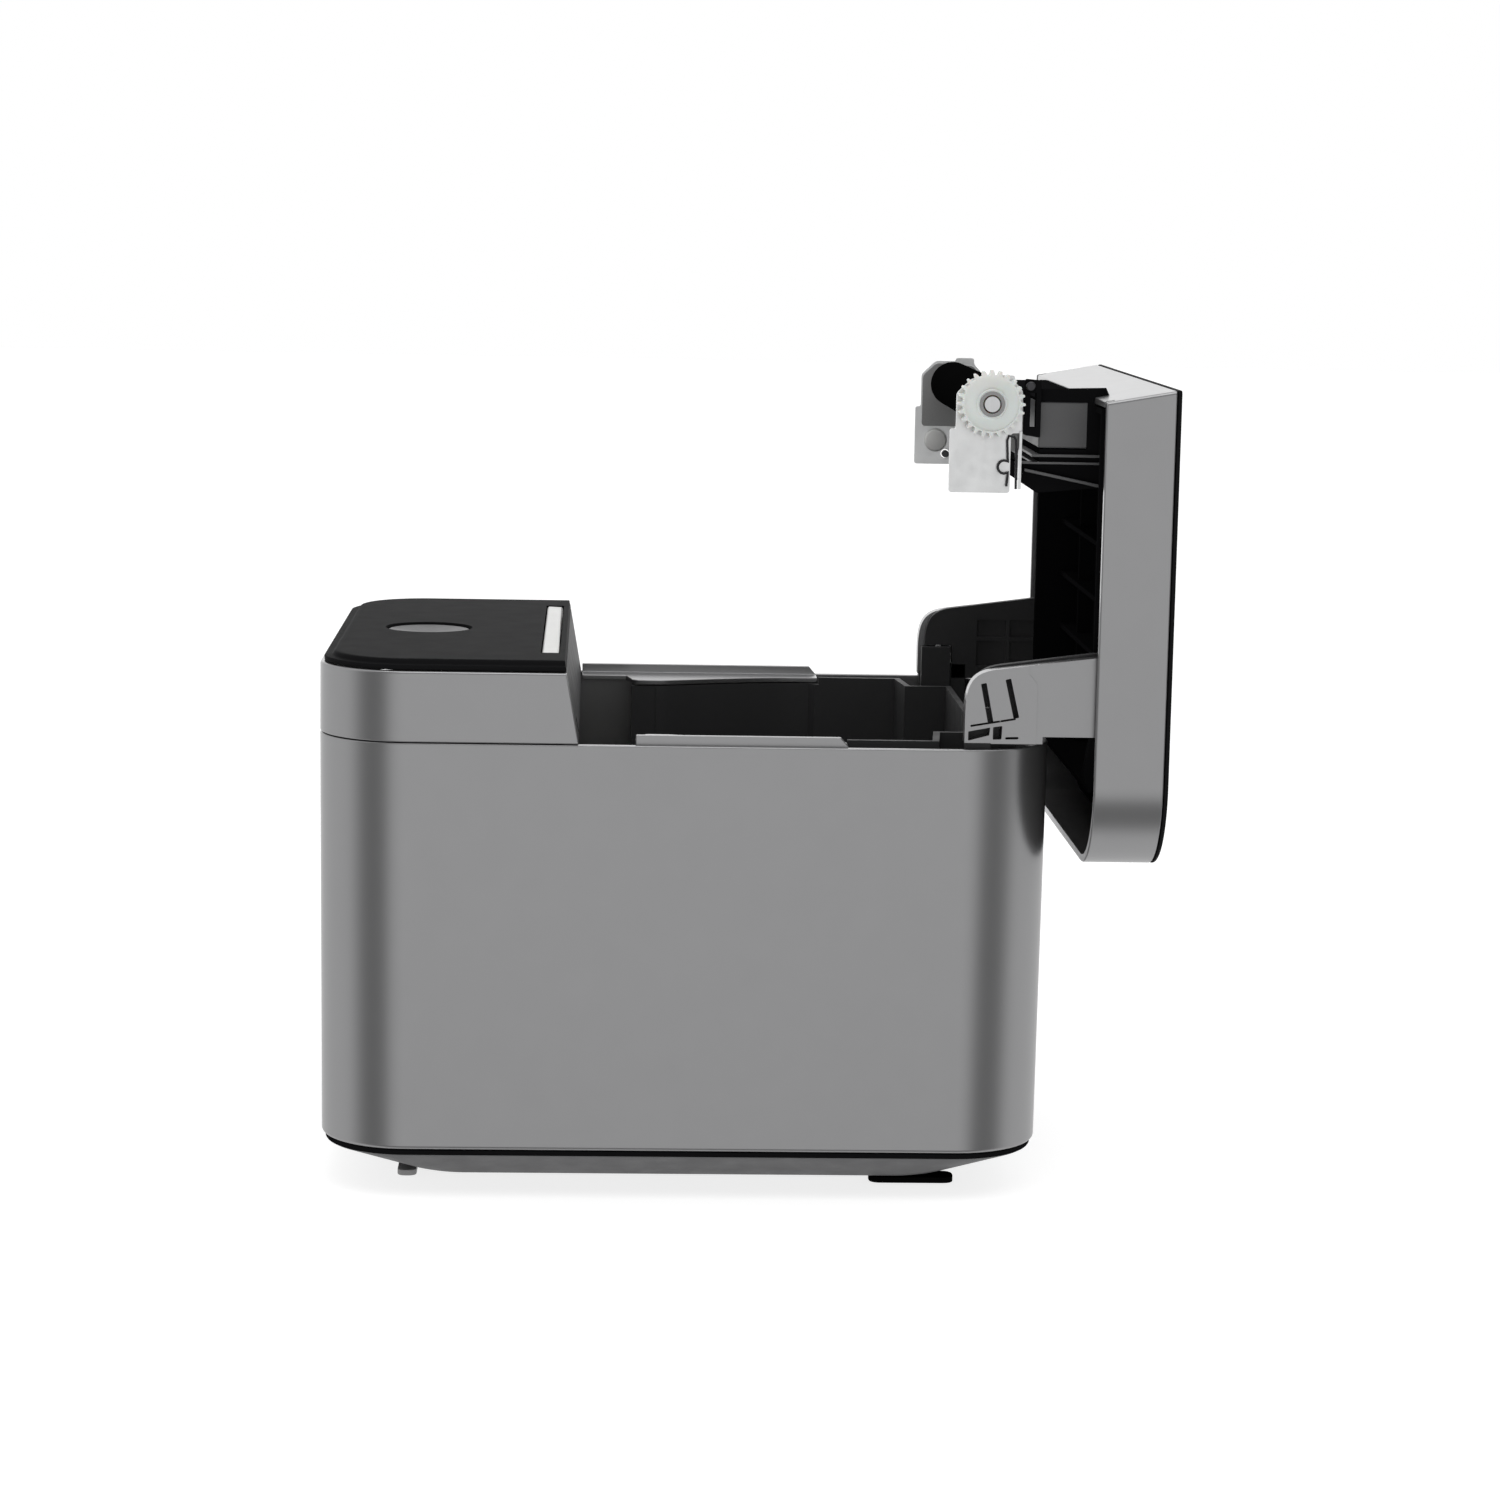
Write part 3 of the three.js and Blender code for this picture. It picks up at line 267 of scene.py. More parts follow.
def soften(piece, width, segments=3, angle=35, smooth=True):
    """Rounds the sharp edges and shades flat faces flat."""
    for face in piece.data.polygons:
        face.use_smooth = smooth
    if width:
        bevel = piece.modifiers.new("edges", "BEVEL")
        bevel.width = width * MM
        bevel.segments = segments
        bevel.limit_method = "ANGLE"
        bevel.angle_limit = math.radians(angle)
        bevel.use_clamp_overlap = True
    normals = piece.modifiers.new("normals", "WEIGHTED_NORMAL")
    normals.keep_sharp = True
    normals.weight = 60


def finish_piece(piece, slot, body, replaces=(), width=0.3, segments=3, angle=35, smooth=True, look=None):
    soften(piece, width, segments, angle, smooth)
    piece.data.materials.clear()
    piece.data.materials.append(LOOKS[look or slot])
    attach(piece, body)
    if replaces:
        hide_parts(*replaces)
    return piece


def stand_in(node, slot, solids, cuts=(), common=(), closed=False, width=0.3, **options):
    """A finished piece that stands for one CAD node and rides on its body."""
    piece = sculpt(node + "_finished", solids, cuts, common, closed)
    return finish_piece(piece, slot, BODY_OF[node], (node,), width, **options)


def extra(name, body, slot, solids, cuts=(), closed=False, width=0.15, **options):
    """A small piece that the CAD model doesn't have."""
    piece = sculpt(name, solids, cuts, closed=closed)
    return finish_piece(piece, slot, body, (), width, **options)


# ---- materials ----
def linear(value):
    """An sRGB level from 0 to 255 as linear light."""
    v = value / 255
    return v / 12.92 if v <= 0.04045 else ((v + 0.055) / 1.055) ** 2.4


def colour_of(levels):
    return tuple(linear(v) for v in levels) + (1.0,)


class Nodes:
    """Short calls for building one material's nodes."""

    def __init__(self, name):
        self.material = bpy.data.materials.new(name)
        self.material.use_nodes = True
        self.tree = self.material.node_tree
        self.shader = self.tree.nodes["Principled BSDF"]
        self.place = self.tree.nodes.new("ShaderNodeTexCoord").outputs["Object"]

    def link(self, source, target):
        self.tree.links.new(source, target)

    def scaled(self, x, y, z):
        mapping = self.tree.nodes.new("ShaderNodeMapping")
        mapping.inputs["Scale"].default_value = (x, y, z)
        self.link(self.place, mapping.inputs["Vector"])
        return mapping.outputs["Vector"]

    def noise(self, size_mm, detail=3.0, vector=None):
        noise = self.tree.nodes.new("ShaderNodeTexNoise")
        noise.inputs["Scale"].default_value = 1 / (size_mm * MM)
        noise.inputs["Detail"].default_value = detail
        noise.inputs["Roughness"].default_value = 0.55
        self.link(vector or self.place, noise.inputs["Vector"])
        return noise.outputs["Fac"]

    def remap(self, value, low, high, from_low=0.3, from_high=0.7):
        remap = self.tree.nodes.new("ShaderNodeMapRange")
        remap.inputs["From Min"].default_value = from_low
        remap.inputs["From Max"].default_value = from_high
        remap.inputs["To Min"].default_value = low
        remap.inputs["To Max"].default_value = high
        self.link(value, remap.inputs["Value"])
        return remap.outputs["Result"]

    def blend(self, factor, a, b):
        mix = self.tree.nodes.new("ShaderNodeMix")
        mix.data_type = "RGBA"
        self.link(factor, mix.inputs["Factor"])
        for value, socket in ((a, mix.inputs["A"]), (b, mix.inputs["B"])):
            if isinstance(value, tuple):
                socket.default_value = value
            else:
                self.link(value, socket)
        return mix.outputs["Result"]

    def bump(self, height, depth_mm, strength=1.0):
        bump = self.tree.nodes.new("ShaderNodeBump")
        bump.inputs["Distance"].default_value = depth_mm * MM
        bump.inputs["Strength"].default_value = strength
        self.link(height, bump.inputs["Height"])
        return bump.outputs["Normal"]


def finish(
    name,
    levels,
    rough,
    metallic=0.0,
    specular=0.5,
    mottle=0.06,
    mottle_mm=22,
    grain_mm=0.45,
    grain_depth=0.006,
    stretch=None,
    uneven=0.12,
    **sockets,
):
    """A moulded, painted or rolled surface: cloudy colour, uneven gloss and fine grain."""
    n = Nodes(name)
    base = colour_of(levels)
    dark = tuple(c * (1 - mottle) for c in base[:3]) + (1.0,)
    light = tuple(min(1.0, c * (1 + mottle)) for c in base[:3]) + (1.0,)
    vector = n.scaled(*stretch) if stretch else None
    clouds = n.remap(n.noise(mottle_mm, 4.0, vector), 0, 1)
    fine = n.noise(grain_mm, 2.0, vector)
    tone = n.blend(clouds, dark, light)
    speck = n.remap(fine, 0, 1, 0.35, 0.75)
    shade = n.blend(speck, tone, light)
    n.link(shade, n.shader.inputs["Base Color"])
    patches = n.noise(mottle_mm * 0.4, 5.0, vector)
    sheen = n.remap(patches, rough * (1 - uneven), rough * (1 + uneven))
    n.link(sheen, n.shader.inputs["Roughness"])
    n.link(n.bump(fine, grain_depth, 0.6), n.shader.inputs["Normal"])
    n.shader.inputs["Metallic"].default_value = metallic
    n.shader.inputs["Specular IOR Level"].default_value = specular
    for socket, value in sockets.items():
        n.shader.inputs[socket.replace("_", " ")].default_value = value
    return n.material


def board_finish():
    """Green solder mask over fine tracks."""
    n = Nodes("circuit_board")
    bricks = n.tree.nodes.new("ShaderNodeTexBrick")
    bricks.inputs["Scale"].default_value = 260
    bricks.inputs["Mortar Size"].default_value = 0.035
    bricks.inputs["Color1"].default_value = colour_of((26, 84, 52))
    bricks.inputs["Color2"].default_value = colour_of((30, 92, 58))
    bricks.inputs["Mortar"].default_value = colour_of((64, 128, 84))
    n.link(n.place, bricks.inputs["Vector"])
    tone = n.blend(n.remap(n.noise(9), 0, 0.5), bricks.outputs["Color"], colour_of((20, 66, 44)))
    n.link(tone, n.shader.inputs["Base Color"])
    n.link(n.remap(n.noise(3), 0.3, 0.5), n.shader.inputs["Roughness"])
    n.link(n.bump(n.noise(1.2), 0.02), n.shader.inputs["Normal"])
    return n.material


LOOKS = {
    "shell_gray": finish(
        "shell_paint",
        (150, 150, 151),
        0.3,
        0.85,
        mottle=0.008,
        grain_mm=0.3,
        grain_depth=0.0012,
        uneven=0.03,
    ),
    "panel_black": finish(
        "panel_plastic",
        (24, 24, 25),
        0.5,
        specular=0.005,
        mottle=0.012,
        grain_depth=0.002,
        uneven=0.03,
    ),
    "base_gray": finish("base_plastic", (80, 80, 81), 0.62, specular=0.3, grain_depth=0.02),
    "inner_black": finish("inner_plastic", (56, 56, 57), 0.55, specular=0.25, grain_depth=0.015),
    "bar_white": finish("bar_plastic", (216, 216, 214), 0.42, specular=0.4, mottle=0.02),
    "button_gray": finish("button_plastic", (100, 100, 101), 0.45, 0.2, specular=0.2),
    "liner_black": finish("liner_plastic", (20, 20, 21), 0.7, specular=0.0, grain_depth=0.012),
    "housing_black": finish("housing_plastic", (86, 86, 87), 0.38, specular=0.45, mottle=0.05),
    "rubber": finish("rubber", (9, 9, 9), 0.9, specular=0.0, grain_mm=0.25, grain_depth=0.02),
    "nylon": finish("nylon", (228, 228, 224), 0.5, specular=0.35, mottle=0.03, Subsurface_Weight=0.15),
    "plate_steel": finish(
        "plate_steel",
        (232, 233, 233),
        0.42,
        0.9,
        mottle=0.02,
        mottle_mm=9,
        grain_depth=0.003,
    ),
    "steel": finish(
        "steel",
        (206, 207, 208),
        0.34,
        1.0,
        mottle=0.05,
        mottle_mm=3,
        grain_mm=0.5,
        stretch=(1, 1, 0.08),
    ),
    "aluminium": finish("aluminium", (196, 198, 200), 0.38, 1.0, mottle=0.05, mottle_mm=4),
    "ceramic": finish("ceramic", (222, 216, 200), 0.25, specular=0.5, mottle=0.03),
    "bronze": finish("bronze", (178, 140, 88), 0.4, 1.0, mottle=0.08, mottle_mm=3),
    "board_green": board_finish(),
    # Mid gray plastic: the platen clip's own colour, painted light on the front feet and painted shade on the
    # platen plates.
    "mid_gray": finish("mid_gray_plastic", (142, 142, 142), 0.55, specular=0.3),
    "dark_screw": finish("dark_screw", (70, 70, 72), 0.35, 1.0, mottle=0.1, mottle_mm=2),
}
KEPT = {
    "inner_black": [
        "exit_liner", "mechanism_frame", "side_guide_right", "side_guide_left", "label_sensor",
        "port_panel", "power_inlet", "hinge_bracket_right", "hinge_bracket_left",
    ],
    "liner_black": ["lid_liner"],
    "board_green": ["button_board", "main_board"],
    "steel": [
        "side_frame_right", "side_frame_left", "head_pivot_rod", "spring_plate", "motor_pinion",
        "hinge_pin_right", "hinge_pin_left", "usb_port", "platen_shaft",
    ],
    "aluminium": ["print_head", "stepper_motor"],
    "ceramic": ["heater_bar"],
    "nylon": ["idler_gear", "guide_pinion"],
    "panel_black": ["power_switch"],
    "bronze": ["platen_bush_right", "platen_bush_left"],
}


def dress_kept_nodes():
    """CAD nodes whose shape is right keep it, with broken edges and a finished material."""
    for look, names in KEPT.items():
        for name in names:
            node = frame["nodes"][name]
            for slot in node.material_slots:
                slot.material = LOOKS[look]
            weld = node.modifiers.new("weld", "WELD")
            weld.merge_threshold = 0.01 * MM
            bevel = node.modifiers.new("edges", "BEVEL")
            bevel.width = 0.18 * MM
            bevel.segments = 2
            bevel.limit_method = "ANGLE"
            bevel.angle_limit = math.radians(40)


# ---- plans of the casing ----
def whole_plan(inset):
    """The body's outline from above, drawn in by inset."""
    w, r = HALF_W - inset, CORNER - inset
    front, rear = inset + r, DEPTH - inset - r
    right = arc(w - r, front, r, -90, 0) + arc(w - r, rear, r, 0, 90)
    return right + arc(r - w, rear, r, 90, 180) + arc(r - w, front, r, 180, 270)


def front_path(inset, y1):
    """The front block's outline as an open path, from its right rear end to its left one."""
    w, r = HALF_W - inset, CORNER - inset
    right = arc(w - r, inset + r, r, 0, -90)
    left = arc(r - w, inset + r, r, -90, -180)
    return [(w, y1)] + right + left + [(-w, y1)]


def lean(at_seam, z):
    """Where a face of the exit slot lies at a height."""
    return at_seam - (z - PARTING) * SLANT


def wall_section(z0, z1, wall, low_round, high_round, foot_inset=0.0):
    """(inset, z) points round a wall, up its outer face and down its inner one."""
    points = []
    steps = 5
    for k in range(steps + 1):
        t = math.radians(90 * k / steps)
        inset = foot_inset + low_round * (1 - math.sin(t))
        points.append((inset, z0 + low_round * (1 - math.cos(t))))
    for k in range(steps + 1):
        t = math.radians(90 * k / steps)
        points.append((high_round * (1 - math.cos(t)), z1 - high_round * (1 - math.sin(t))))
    return points + [(wall, z1), (wall + foot_inset, z0)]


# ---- base ----
SKIRT_LEAN_X = 20  # how far the skirt's foot lies inside its top, at each side
SKIRT_LEAN_Y = 24  # and at the front and rear
SCREWS = [(x, y) for x in (-50, 50) for y in (44, 160, 195)]
VENT_LENGTH, VENT_WIDTH, VENT_PITCH = 48, 2.2, 5


def skirt_ring(inset, z):
    """The base tray's outline, which draws in towards its foot."""
    t = (BASE_TOP - z) / (BASE_TOP - BASE_BOTTOM)
    middle = DEPTH / 2
    x_scale = 1 - t * SKIRT_LEAN_X / HALF_W
    y_scale = 1 - t * SKIRT_LEAN_Y / middle
    return [(x * x_scale, middle + (y - middle) * y_scale, z) for x, y in whole_plan(inset)]


def make_base():
    section = [
        (4.2, BASE_BOTTOM),
        (2.6, BASE_BOTTOM + 0.2),
        (1.9, BASE_BOTTOM + 0.9),
        (1.8, BASE_BOTTOM + 3),
        (1.8, 10.4),
        (1.8, BASE_TOP - 0.5),
        (2.2, BASE_TOP),
        (6.6, BASE_TOP),
        (7.0, BASE_TOP - 0.4),
        (7.0, BASE_BOTTOM + 2.4),
    ]
    tray = grid([skirt_ring(inset, z) for inset, z in section])
    wells = [rod("z", 4.2, 0, BASE_BOTTOM + 1.6, x, y, 32) for x, y in SCREWS]
    vents = []
    for y in range(96, 136, VENT_PITCH):
        outline = rectangle(-VENT_LENGTH / 2, VENT_LENGTH / 2, y, y + VENT_WIDTH)
        vents.append(prism("z", rounded(outline, VENT_WIDTH / 2), 0, 8))
    panel = prism("z", rounded(rectangle(-28, 28, 52, 84), 3), 0, BASE_BOTTOM + 0.4)
    stand_in("base_plate", "base_gray", [tray], wells + vents + [panel], width=0.25, angle=50)
    for index, (x, y) in enumerate(SCREWS):
        head = lathe("z", [(2.6, 2.5), (2.9, 2.7), (2.9, 3.7)], x, y, 32)
        cross = [block(x - a, x + a, y - b, y + b, 1, 3) for a, b in ((1.6, 0.3), (0.3, 1.6))]
        extra(f"base_screw_{index}", "base", "steel", [head], cross, width=0.0, look="dark_screw")
    # A black ring in the seam between base and shell: painted shade, standing for the shadow in that gap.
    rim = [(1.9, 13.3), (1.9, 14.6), (3.6, 14.6), (3.6, 17.6), (6.0, 17.6), (6.0, 13.3)]
    rings = [[(x, y, z) for x, y in whole_plan(inset)] for inset, z in rim]
    band = grid(rings, wrap_rows=True)
    stand_in("base_rim", "inner_black", [band], width=0.2, angle=50, look="liner_black")


def make_feet():
    for side in ("right", "left"):
        # The front feet take a lighter mid gray than the rubber rear ones: painted light, against the shade under
        # the base.
        for place, look in (("front", "mid_gray"), ("rear", None)):
            node = f"foot_{place}_{side}"
            x0, x1, y0, y1, z0, z1 = local_box(node)
            r = min(x1 - x0, y1 - y0) / 2
            outline = rounded(rectangle(x0, x1, y0, y1), r, 10)
            grooves = []
            if place == "rear":
                rows = range(int(y0) + 5, int(y1) - 3, 3)
                grooves = [block(x0 + 1.5, x1 - 1.5, y - 0.35, y + 0.35, -1, 0.35) for y in rows]
            stand_in(node, "rubber", [prism("z", outline, z0, z1)], grooves, width=0.3, look=look)


# ---- shell, front block and its top ----
def make_shell():
    top = PARTING - 0.15
    section = wall_section(SHELL_BOTTOM, top, WALL, 1.3, 0.55, 0.7)
    rings = [[(x, y, z) for x, y in whole_plan(inset)] for inset, z in section]
    x0, x1, _, _, z0, z1 = local_box("port_panel")
    window = prism("y", rounded(rectangle(x0, x1, z0, z1, -0.3), 1.2), DEPTH - 8, DEPTH + 3)
    stand_in("lower_shell", "shell_gray", [grid(rings, wrap_rows=True)], [window], width=0.35, angle=50)


def front_rows(section):
    """The front block's outline at each (inset, z) of a section."""
    rows = []
    for inset, z in section:
        rows.append([(x, y, z) for x, y in front_path(inset, lean(BLOCK_BACK, z))])
    return rows


def make_front_cover():
    section = wall_section(PARTING + 0.15, COVER_TOP, WALL, 0.35, 0.9)
    cover = grid(front_rows(section), wrap_rows=True, wrap_cols=False)
    stand_in("front_cover", "shell_gray", [cover], width=0.45, angle=50)


BUTTON_X0, BUTTON_X1, BUTTON_Y0, BUTTON_Y1, _, BUTTON_TOP = local_box("feed_button")
BUTTON_X = (BUTTON_X0 + BUTTON_X1) / 2
BUTTON_Y = (BUTTON_Y0 + BUTTON_Y1) / 2
BUTTON_R = 13.2
BAR = local_box("tear_bar")


def make_top_panel():
    section = [
        (1.3, COVER_TOP + 0.3),
        (1.2, 163.5),
        (1.35, 163.85),
        (1.8, 164.0),
        (3.3, 164.05),
        (3.8, 164.3),
        (4.15, 164.9),
        (4.5, 165.25),
        (5.0, 165.42),
        (6.0, PANEL_TOP),
    ]
    under, over = 150, 170
    close, wide = BUTTON_R + 0.3, BUTTON_R + 0.9
    bore = [(close, under), (close, 164.6), (wide, PANEL_TOP + 0.2), (wide, over)]
    hole = lathe("z", bore, BUTTON_X, BUTTON_Y, 96)
    slot = prism("z", rectangle(*BAR[:4], -0.35), under, over)
    panel = grid(front_rows(section))
    stand_in("top_panel", "panel_black", [panel], [hole, slot], width=0.35, angle=50)


def make_tear_bar():
    x0, x1, y0, y1, z0, z1 = BAR
    outline = [(y0, z0), (y1, z0), (y1, z1 - 0.5), (y1 - 0.6, z1), (y0 + 0.5, z1 + 0.15), (y0, z1 - 0.3)]
    notches = []
    pitch = 2.0
    for k in range(1, int((x1 - x0) / pitch)):
        x = x0 + k * pitch
        notch = [(x - 0.25, z1 + 0.3), (x, z1 - 0.35), (x + 0.25, z1 + 0.3)]
        notches.append(prism("y", notch, y1 - 0.8, y1 + 0.3))
    stand_in("tear_bar", "bar_white", [prism("x", outline, x0, x1)], notches, width=0.12, angle=40)


def make_button():
    top = BUTTON_TOP
    r = BUTTON_R
    stem, flange = 3, r + 1.4
    profile = [(stem, 156), (stem, top - 4.3), (flange, top - 4.3), (flange, top - 3)]
    profile += [(r, top - 3), (r, top - 0.5), (r - 0.15, top - 0.2), (r - 0.5, top), (r - 1.3, top - 0.02)]
    dish = 1.0
    profile += [(r * k / 12 * 0.9, top - dish * (1 - (k / 12) ** 2)) for k in range(12, 0, -1)]
    stand_in("feed_button", "button_gray", [lathe("z", profile, BUTTON_X, BUTTON_Y, 96)], width=0.0)


# ---- roll compartment ----
TUB_Y = 151
TUB_Z = 88
TUB_RADIUS = 52.5
TUB_WALL = 1.9
TUB_TOP = 138.6  # under the side decks
TUB_RIM = 141
ABOVE_TUB = 150
DECK_END = 161


def throat(side_inset=0.0):
    """The compartment's curved side wall, from front to back."""
    start, end = (64.3 + side_inset, 107), (76.3 + side_inset, 150)
    return curve(start, (66.4 + side_inset, 116), (74.4 + side_inset, 134), end)


def tub_plan(offset):
    """The compartment from above, drawn out by offset: it widens to the back, then steps in."""
    front = TUB_Y - TUB_RADIUS - offset
    rear = TUB_Y + TUB_RADIUS + offset
    half = [(64.3 + offset, front)] + throat(offset)
    half += [(76.2 + offset, 158), (73.6 + offset, 160), (73.6 + offset, 187.5 + offset)]
    half += [(54 + offset, 189.5 + offset), (54 + offset, rear)]
    return half + [(-x, y) for x, y in reversed(half)]


def trough(radius, top):
    """A U-shaped solid across the whole body: a round floor with upright sides, up to top."""
    outline = [(TUB_Y + radius, top), (TUB_Y - radius, top)]
    outline += arc(TUB_Y, TUB_Z, radius, 180, 360, 48)
    return prism("x", outline, -HALF_W, HALF_W)


def make_tub():
    below = 20  # lower than the trough, so its round floor ends the tub
    outer = prism("z", tub_plan(TUB_WALL), below, TUB_RIM)
    well = prism("z", tub_plan(0), below, ABOVE_TUB)
    hollow = shape_of(sculpt("hollow", [well], common=[trough(TUB_RADIUS, ABOVE_TUB + 10)]))
    cuts = [
        hollow,
        block(-HALF_W, HALF_W, 90, DECK_END + 0.3, TUB_TOP, ABOVE_TUB),
        block(-64.7, 64.7, 90, 105, 93, ABOVE_TUB),  # room for the platen unit, lid shut
        block(63, 68, 90, 99.6, 93, ABOVE_TUB),  # and at the corner by its gear
    ]
    round_floor = trough(TUB_RADIUS + TUB_WALL, ABOVE_TUB)
    stand_in("roll_tub", "inner_black", [outer], cuts, [round_floor], angle=50)
    post = rod("z", 1.6, 35, 44.4, 0, TUB_Y, 32, 0.3)
    extra("pinion_post", "base", "inner_black", [post], width=0.0)


def make_decks():
    outer_x = HALF_W - WALL - 0.3
    deck_top = PARTING - 0.1
    lip_top = 143.4
    for side, start in (("right", 96.5), ("left", 79.7)):
        outline = [(outer_x, start), (outer_x, DECK_END), (76.5, DECK_END)]
        outline += list(reversed(throat(0.15)))
        if side == "right":
            outline += [(64.4, 99.6), (71.8, 99.4), (73, start)]
        else:
            outline += [(64.4, 99), (66, 97), (76.4, 95), (76.4, start)]
        ledge = prism("z", outline, TUB_TOP + 0.3, deck_top)
        foot = deck_top - 1
        raised = [(start, foot), (DECK_END, foot), (DECK_END, deck_top)]
        raised += [(DECK_END - 2.5, lip_top), (start, lip_top)]
        lip = prism("x", raised, outer_x - 2, outer_x)
        stand_in(f"side_deck_{side}", "shell_gray", on_side(side, [ledge, lip]), width=0.35, angle=40)


# ---- lid, drawn shut ----
LID_LOW = PARTING + 0.4
LID_REAR = PIVOT_Y + PIVOT_Z - local_box("lid_cover")[4]


def lid_ring(inset, z, front_inset):
    """The lid's outline at a height: a leaning front line and round rear corners."""
    w, r = HALF_W - inset, CORNER - inset
    y0 = lean(LID_FRONT, z) + front_inset
    y1 = LID_REAR - inset
    corner = min(1.2, r)
    points = arc(w - corner, y0 + corner, corner, -90, 0, 6)
    points += arc(w - r, y1 - r, r, 0, 90) + arc(r - w, y1 - r, r, 90, 180)
    points += arc(corner - w, y0 + corner, corner, 180, 270, 6)
    return [(x, y, z) for x, y in points]


def make_lid():
    top = COVER_TOP - 0.15
    section = wall_section(LID_LOW, top, WALL, 0.5, 0.4)
    band = grid([lid_ring(i, z, i * 0.75) for i, z in section], wrap_rows=True)
    lip_room = [block(x - 1.3, x + 1.3, 78, 88, 140, 143.9) for x in (-86.1, 86.1)]
    stand_in("lid_band", "shell_gray", [band], lip_room, closed=True, width=0.4, angle=50)
    low = COVER_TOP + 0.15
    section = [(0.25, low), (0.0, low + 0.25), (0.0, low + 0.6)]
    section += [(0.2, low + 1.0), (0.7, low + 1.3), (1.6, LID_TOP)]
    sheet = grid([lid_ring(i, z, i * 0.4) for i, z in section])
    spigot = grid([lid_ring(2.7, z, 2.0) for z in (160.2, COVER_TOP + 0.3)])
    stand_in("lid_cover", "panel_black", [sheet, spigot], closed=True, width=0.15, angle=60)
    low, high = 144, 158
    near, far = LID_FRONT + 2.0, LID_FRONT + 2.8
    edge = [(lean(at, z), z) for at, z in ((near, low), (near, high), (far, high), (far, low))]
    strip = prism("x", edge, -86.9, 86.9)
    extra("lid_front_liner", "lid", "inner_black", [strip], closed=True, width=0.1, look="liner_black")


# ---- hinge arms, drawn open ----
ARM_X0 = 81.0
ARM_X1 = 86.3
ARM_ROOT = 250.0
ARM_FOOT = 142.2
COVER_X0 = 77.6
COVER_X1 = ARM_X0 - 0.3


def arm_outline(left, lift=0.0):
    """The arm from the side; lift raises its upper edge."""
    start, end = (left, 151 + lift), (left + 9, 164.6 + lift)
    top = curve(start, (left, 160.5 + lift), (left + 2.2, 163.6 + lift), end, 12)
    points = [(left, ARM_FOOT), (204, ARM_FOOT), (204, 142), (219.8, 142), (219.8, 144.2)]
    points += [(ARM_ROOT, 144.2), (ARM_ROOT, 168.4 + lift), (235.1, 168.4 + lift)]
    return points + list(reversed(top))


def stroke(a, b, half):
    """A narrow four-sided outline along the line from a to b."""
    across = Vector((b[1] - a[1], a[0] - b[0])).normalized() * half
    return [tuple(Vector(p) + across * k) for p, k in ((a, 1), (b, 1), (b, -1), (a, -1))]


def arm_recesses():
    """Slots and cells cut through an arm's cheek, and the shallow step at its seam."""
    cells = [
        stroke((201.4, 160.4), (203.8, 148.6), 0.85),
        stroke((208.8, 161.8), (211.6, 149.9), 0.85),
        stroke((197.7, 147.4), (211.4, 149.7), 0.3),
        [(197.1, 142.9), (203.5, 144.6), (203.7, 147.0), (197.1, 145.7)],
        [(204.6, 143.3), (207.2, 143.4), (207.4, 147.5), (204.6, 147.1)],
        [(208.4, 143.4), (212.4, 143.5), (212.4, 144.2), (208.4, 144.1)],
    ]
    seam = [(217.8, 140), (217.8, 160.2), (215.2, 163.4), (215.2, 170), (252, 170), (252, 140)]
    outside = ARM_X1 + 1
    cuts = [prism("x", rounded(cell, 0.3, 3), ARM_X0 - 1, outside) for cell in cells]
    return cuts + [prism("x", seam, ARM_X1 - 0.5, outside)]


def arm_neck():
    """The black part of an arm, from its cheek down and in to the hinge pin."""
    low = 119.5
    boss_x0, boss_x1 = 60, 68.4
    return [
        block(ARM_X0, ARM_X1 - 0.6, 196.6, 204, 134, 143.0),
        block(75.8, ARM_X0 + 1, 197, 207, low, 152),
        block(COVER_X0, COVER_X1, 198, 212.5, low, 146),
        block(62, ARM_X0 + 1, 198, 207, low, 131),
        rod("x", 6.5, boss_x0, boss_x1, PIVOT_Y, PIVOT_Z),
        block(boss_x0, boss_x1, 199, PIVOT_Y, 116.5, 126),
    ]


def cover_pockets():
    """Two rows of pockets in the inner face of an arm cover."""
    columns = [(216.2, 226.2), (227.6, 239.7), (241.1, 249.2)]
    rows = [(145.4, 154.1), (155.5, 161.4)]
    return [block(70, ARM_X0 - 2.2, y0, y1, z0, z1) for y0, y1 in columns for z0, z1 in rows]


def make_arms():
    cheek = prism("x", arm_outline(196), ARM_X0, ARM_X1)
    pin_bore = rod("x", 2.68, 58, 70, PIVOT_Y, PIVOT_Z)
    skin = prism("x", arm_outline(198, 0.8), COVER_X0, COVER_X1)
    foot = block(COVER_X0, COVER_X1, 207.5, 219.6, 141.0, 152)
    neck_room = block(70, ARM_X0, 190, 207.5, 110, 152.5)
    for side in ("right", "left"):
        arm, cover = f"hinge_arm_{side}", f"arm_cover_{side}"
        cuts = on_side(side, arm_recesses())
        stand_in(arm, "shell_gray", on_side(side, [cheek]), cuts, width=0.3, angle=40, smooth=False)
        neck, bore = on_side(side, arm_neck()), on_side(side, [pin_bore])
        extra(f"hinge_neck_{side}", BODY_OF[arm], "inner_black", neck, bore, width=0.3)
        pockets = on_side(side, [neck_room] + cover_pockets())
        stand_in(cover, "inner_black", on_side(side, [skin, foot]), pockets, width=0.25, angle=40)


# ---- platen unit, drawn open ----
PLATEN_Y = JOINTS["platen_spin"]["pos_m"][1] / MM - FRONT
PLATEN_Z = JOINTS["platen_spin"]["pos_m"][2] / MM
PLATE_X0 = 61.4
PLATE_X1 = 62.9
PIN_Y, PIN_Z = 201.8, 219.9
GEAR = local_box("platen_gear")
GEAR_TEETH = 24


def on_platen(radius, low, high, sides=48, chamfer=0.0):
    """A rod on the platen's axis."""
    return rod("x", radius, low, high, PLATEN_Y, PLATEN_Z, sides, chamfer)


